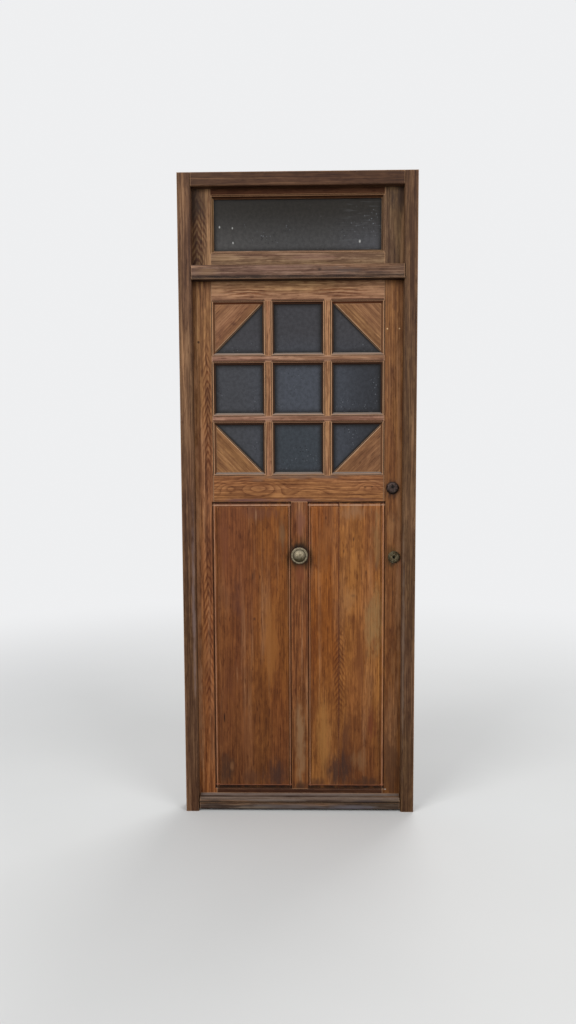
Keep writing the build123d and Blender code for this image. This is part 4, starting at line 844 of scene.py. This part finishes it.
def metal(name, bright, dull, rough, metallic=1.0, scale=150.0, dust_highlight_and_shade=0.0, keyhole=None):
    """Worn metal: bright where it is touched, dull and spotted where it isn't; dust_highlight_and_shade
    adds the film of pale dust and polish and a painted highlight on what faces up, and painted shade
    on what faces down; keyhole is the middle of a keyhole painted black for its shade and dirt, with
    a crust of pale specks round it."""
    g = Graph(name)
    cloud = g.noise(g.place, scale, 4.0, 0.6)
    closed = g.span(g.closeness(RECESS_REACH), 0.1, 0.55)
    worn = g.most(g.span(cloud, 0.42, 0.66), closed)
    colour = g.mix(worn, bright, dull)
    edge = g.span(g.closeness(SHINE_REACH, inside=True), 0.1, 0.45)
    colour = g.mix(g.times(edge, 0.4), colour, scaled(bright, 1.5, 1.5, 1.5))
    # Pale dust and a painted highlight on what faces up, painted shade on what faces down
    if dust_highlight_and_shade:
        up = g.split(g.node("ShaderNodeNewGeometry").outputs["Normal"])[2]
        colour = g.mix(g.span(up, 0.1, 0.8, 0.0, dust_highlight_and_shade), colour, scaled(bright, 1.7, 1.75, 1.8))
        colour = g.mix(g.span(up, -0.6, 0.0, dust_highlight_and_shade, 0.0), colour, scaled(dull, 0.6, 0.62, 0.5))
    colour = g.mix(g.times(closed, 0.7), colour, scaled(dull, 0.3, 0.3, 0.25))
    # A keyhole painted black for its shade and dirt, with pale specks of crust round it
    if keyhole:
        x, _, z = g.split(g.place)
        hole = g.spot(x, z, keyhole, KEYHOLE_SIZE, 0.5)
        ring = g.span(g.spot(x, z, keyhole, CRUST_INSIDE, 0.0), 0.25, 0.6, 1.0, 0.0)
        crust = g.span(g.cells(g.place, 240.0), 0.15, 0.45, 1.0, 0.0)
        colour = g.mix(g.times(g.times(crust, ring), 0.5), colour, CRUST)
        colour = g.mix(hole, colour, KEYHOLE_SHADE_AND_DIRT)
    g.bump(g.noise(g.place, scale * 4), 0.15, 0.0004)
    return g.finish(colour, g.span(cloud, 0.3, 0.7, rough - 0.08, rough + 0.15), Metallic=metallic)


knob_brass = metal("knob_brass", srgb(126, 116, 97), srgb(93, 84, 66), 0.52, dust_highlight_and_shade=0.85)
inner_brass = metal("inner_brass", srgb(168, 140, 88), srgb(110, 88, 52), 0.32)
bronze = metal("dark_bronze", srgb(70, 59, 55), srgb(38, 31, 29), 0.52, dust_highlight_and_shade=0.6)
greened = metal("greened_bronze", srgb(86, 75, 55), srgb(42, 35, 23), 0.5, scale=220.0, dust_highlight_and_shade=0.5,
                keyhole=(LOWER_LOCK.x - 0.001, LOWER_LOCK.z + 0.001))
# The upper lock's plug is toned dark as painted shade in its keyhole
key_plug = metal("plug_painted_dark", srgb(44, 40, 38), srgb(24, 21, 20), 0.5)
enamel = metal("case_lacquer", srgb(58, 46, 38), srgb(34, 27, 23), 0.45, metallic=0.0)
steel = metal("hinge_steel", srgb(140, 134, 126), srgb(88, 80, 72), 0.42)
screw_metal = metal("screw_steel", srgb(150, 142, 128), srgb(92, 82, 68), 0.4)
finishes = {
    knob_brass: ("pull_knob",),
    inner_brass: ("pull_knob_bolt", "latch_pull", "deadlock_turn", "deadlock_bolt", "latch_bolt"),
    bronze: ("deadlock_cylinder",),
    key_plug: ("deadlock_key_plug",),
    greened: ("latch_cylinder", "latch_key_plug"),
    enamel: ("deadlock_case", "latch_case", "deadlock_keep", "latch_keep"),
    steel: ["hinge_pins"] + [name for name in nodes if name.endswith(("frame_half", "leaf_half"))],
    screw_metal: ("frame_screws", "leaf_screws"),
}
for material, names in finishes.items():
    for name in names:
        dress(name, material)


# Floor, light and camera

BACKGROUND = (0.86, 0.865, 0.875)
FLOOR_HALF_SIDE = 14.0
FLOOR_TONES = (0.62, 0.62, 0.61), (0.66, 0.66, 0.65)
# The darker tone that the floor throws its light back with, so that the door's foot stays dark
FLOOR_THROWS = (0.24, 0.24, 0.23)
# How far from the door the floor begins to melt into the background, and where it has
MELT_BEGINS, MELT_ENDS = 1.0, 4.5
SKY, SKY_STRENGTH = (0.95, 0.97, 1.0), 0.5
LIT_POINT = (0, 0, 1.2)

# The photograph's camera, from a fit of the door's edges in it: pixels, metres and degrees
FOCAL_PIXELS, PHOTO_HEIGHT = 800, 1024
EYE_X, EYE_HEIGHT, DISTANCE = 0.024, 1.4565, 3.10
TURN, TILT, ROLL = 1.2, 4.88, 0.27
# Blender's sensor in millimetres, which the longer side of the picture takes up
SENSOR_HEIGHT = 36


def sees_background(tree):
    """1 for the rays that show the background: from the camera, mirrored or let through."""
    path = tree.nodes.new("ShaderNodeLightPath")
    total = path.outputs["Is Camera Ray"]
    for ray in ("Is Glossy Ray", "Is Transmission Ray"):
        most = tree.nodes.new("ShaderNodeMath")
        most.operation = "MAXIMUM"
        tree.links.new(total, most.inputs[0])
        tree.links.new(path.outputs[ray], most.inputs[1])
        total = most.outputs[0]
    return total


def blend_shaders(tree, factor, first, second):
    """The second shader over the first one, by the factor."""
    blend = tree.nodes.new("ShaderNodeMixShader")
    for socket, value in zip(blend.inputs, (factor, first, second)):
        tree.links.new(value, socket)
    return blend.outputs[0]


def floor():
    """A pale floor at the sill's height that melts into the background further out."""
    mesh = bpy.data.meshes.new("floor")
    build = bmesh.new()
    bmesh.ops.create_grid(build, x_segments=1, y_segments=1, size=FLOOR_HALF_SIDE)
    build.to_mesh(mesh)
    build.free()
    made = bpy.data.objects.new("floor", mesh)
    scene.collection.objects.link(made)
    g = Graph("floor")
    tree = g.tree
    x, y, _ = g.split(g.place)
    reach = g.math("SQRT", g.add(g.times(x, x), g.times(y, y)))
    shade = g.noise(g.place, 1.5, 3.0, 0.5)
    g.finish(g.mix(shade, *FLOOR_TONES), 0.9, Specular_IOR_Level=0.1)
    far = g.node("ShaderNodeEmission")
    far.inputs[0].default_value = (*BACKGROUND, 1)
    lit = g.node("ShaderNodeBsdfDiffuse")
    lit.inputs[0].default_value = (*FLOOR_THROWS, 1)
    melt = g.span(reach, MELT_BEGINS, MELT_ENDS)
    seen = blend_shaders(tree, melt, g.shader.outputs[0], far.outputs[0])
    whole = blend_shaders(tree, sees_background(tree), lit.outputs[0], seen)
    tree.links.new(whole, tree.nodes["Material Output"].inputs[0])
    mesh.materials.append(g.material)


def world():
    """Soft light all round, and a pale background."""
    made = bpy.data.worlds.new("studio")
    made.use_nodes = True
    scene.world = made
    tree = made.node_tree
    lit = tree.nodes["Background"]
    lit.inputs[0].default_value = (*SKY, 1)
    lit.inputs[1].default_value = SKY_STRENGTH
    seen = tree.nodes.new("ShaderNodeBackground")
    seen.inputs[0].default_value = (*BACKGROUND, 1)
    whole = blend_shaders(tree, sees_background(tree), lit.outputs[0], seen.outputs[0])
    tree.links.new(whole, tree.nodes["World Output"].inputs[0])


def lamp(name, at, size, power):
    """A soft square lamp that faces the middle of the door."""
    data = bpy.data.lights.new(name, "AREA")
    data.shape = "SQUARE"
    data.size = size
    data.energy = power
    made = bpy.data.objects.new(name, data)
    scene.collection.objects.link(made)
    made.location = at
    made.rotation_euler = (Vector(LIT_POINT) - Vector(at)).to_track_quat("-Z", "Y").to_euler()


def camera():
    """The photograph's view: a little above the lock rail, tilted down and turned slightly left."""
    data = bpy.data.cameras.new("camera")
    data.lens = FOCAL_PIXELS / PHOTO_HEIGHT * SENSOR_HEIGHT
    data.clip_end = 100.0
    made = bpy.data.objects.new("camera", data)
    scene.collection.objects.link(made)
    turn = Matrix.Rotation(math.radians(TURN), 4, "Z")
    pitch = Matrix.Rotation(math.radians(90 - TILT), 4, "X")
    roll = Matrix.Rotation(math.radians(-ROLL), 4, "Z")
    eye = Matrix.Translation((EYE_X, LEAF_FRONT - DISTANCE, EYE_HEIGHT))
    made.matrix_world = eye @ turn @ pitch @ roll
    scene.camera = made


floor()
world()
lamp("key", (-2.9, -3.5, 3.4), 2.6, 150.0)
lamp("fill", (2.9, -3.5, 3.0), 2.6, 100.0)
lamp("back", (1.5, 3.4, 3.8), 3.0, 110.0)
camera()
scene.view_settings.view_transform = "Standard"
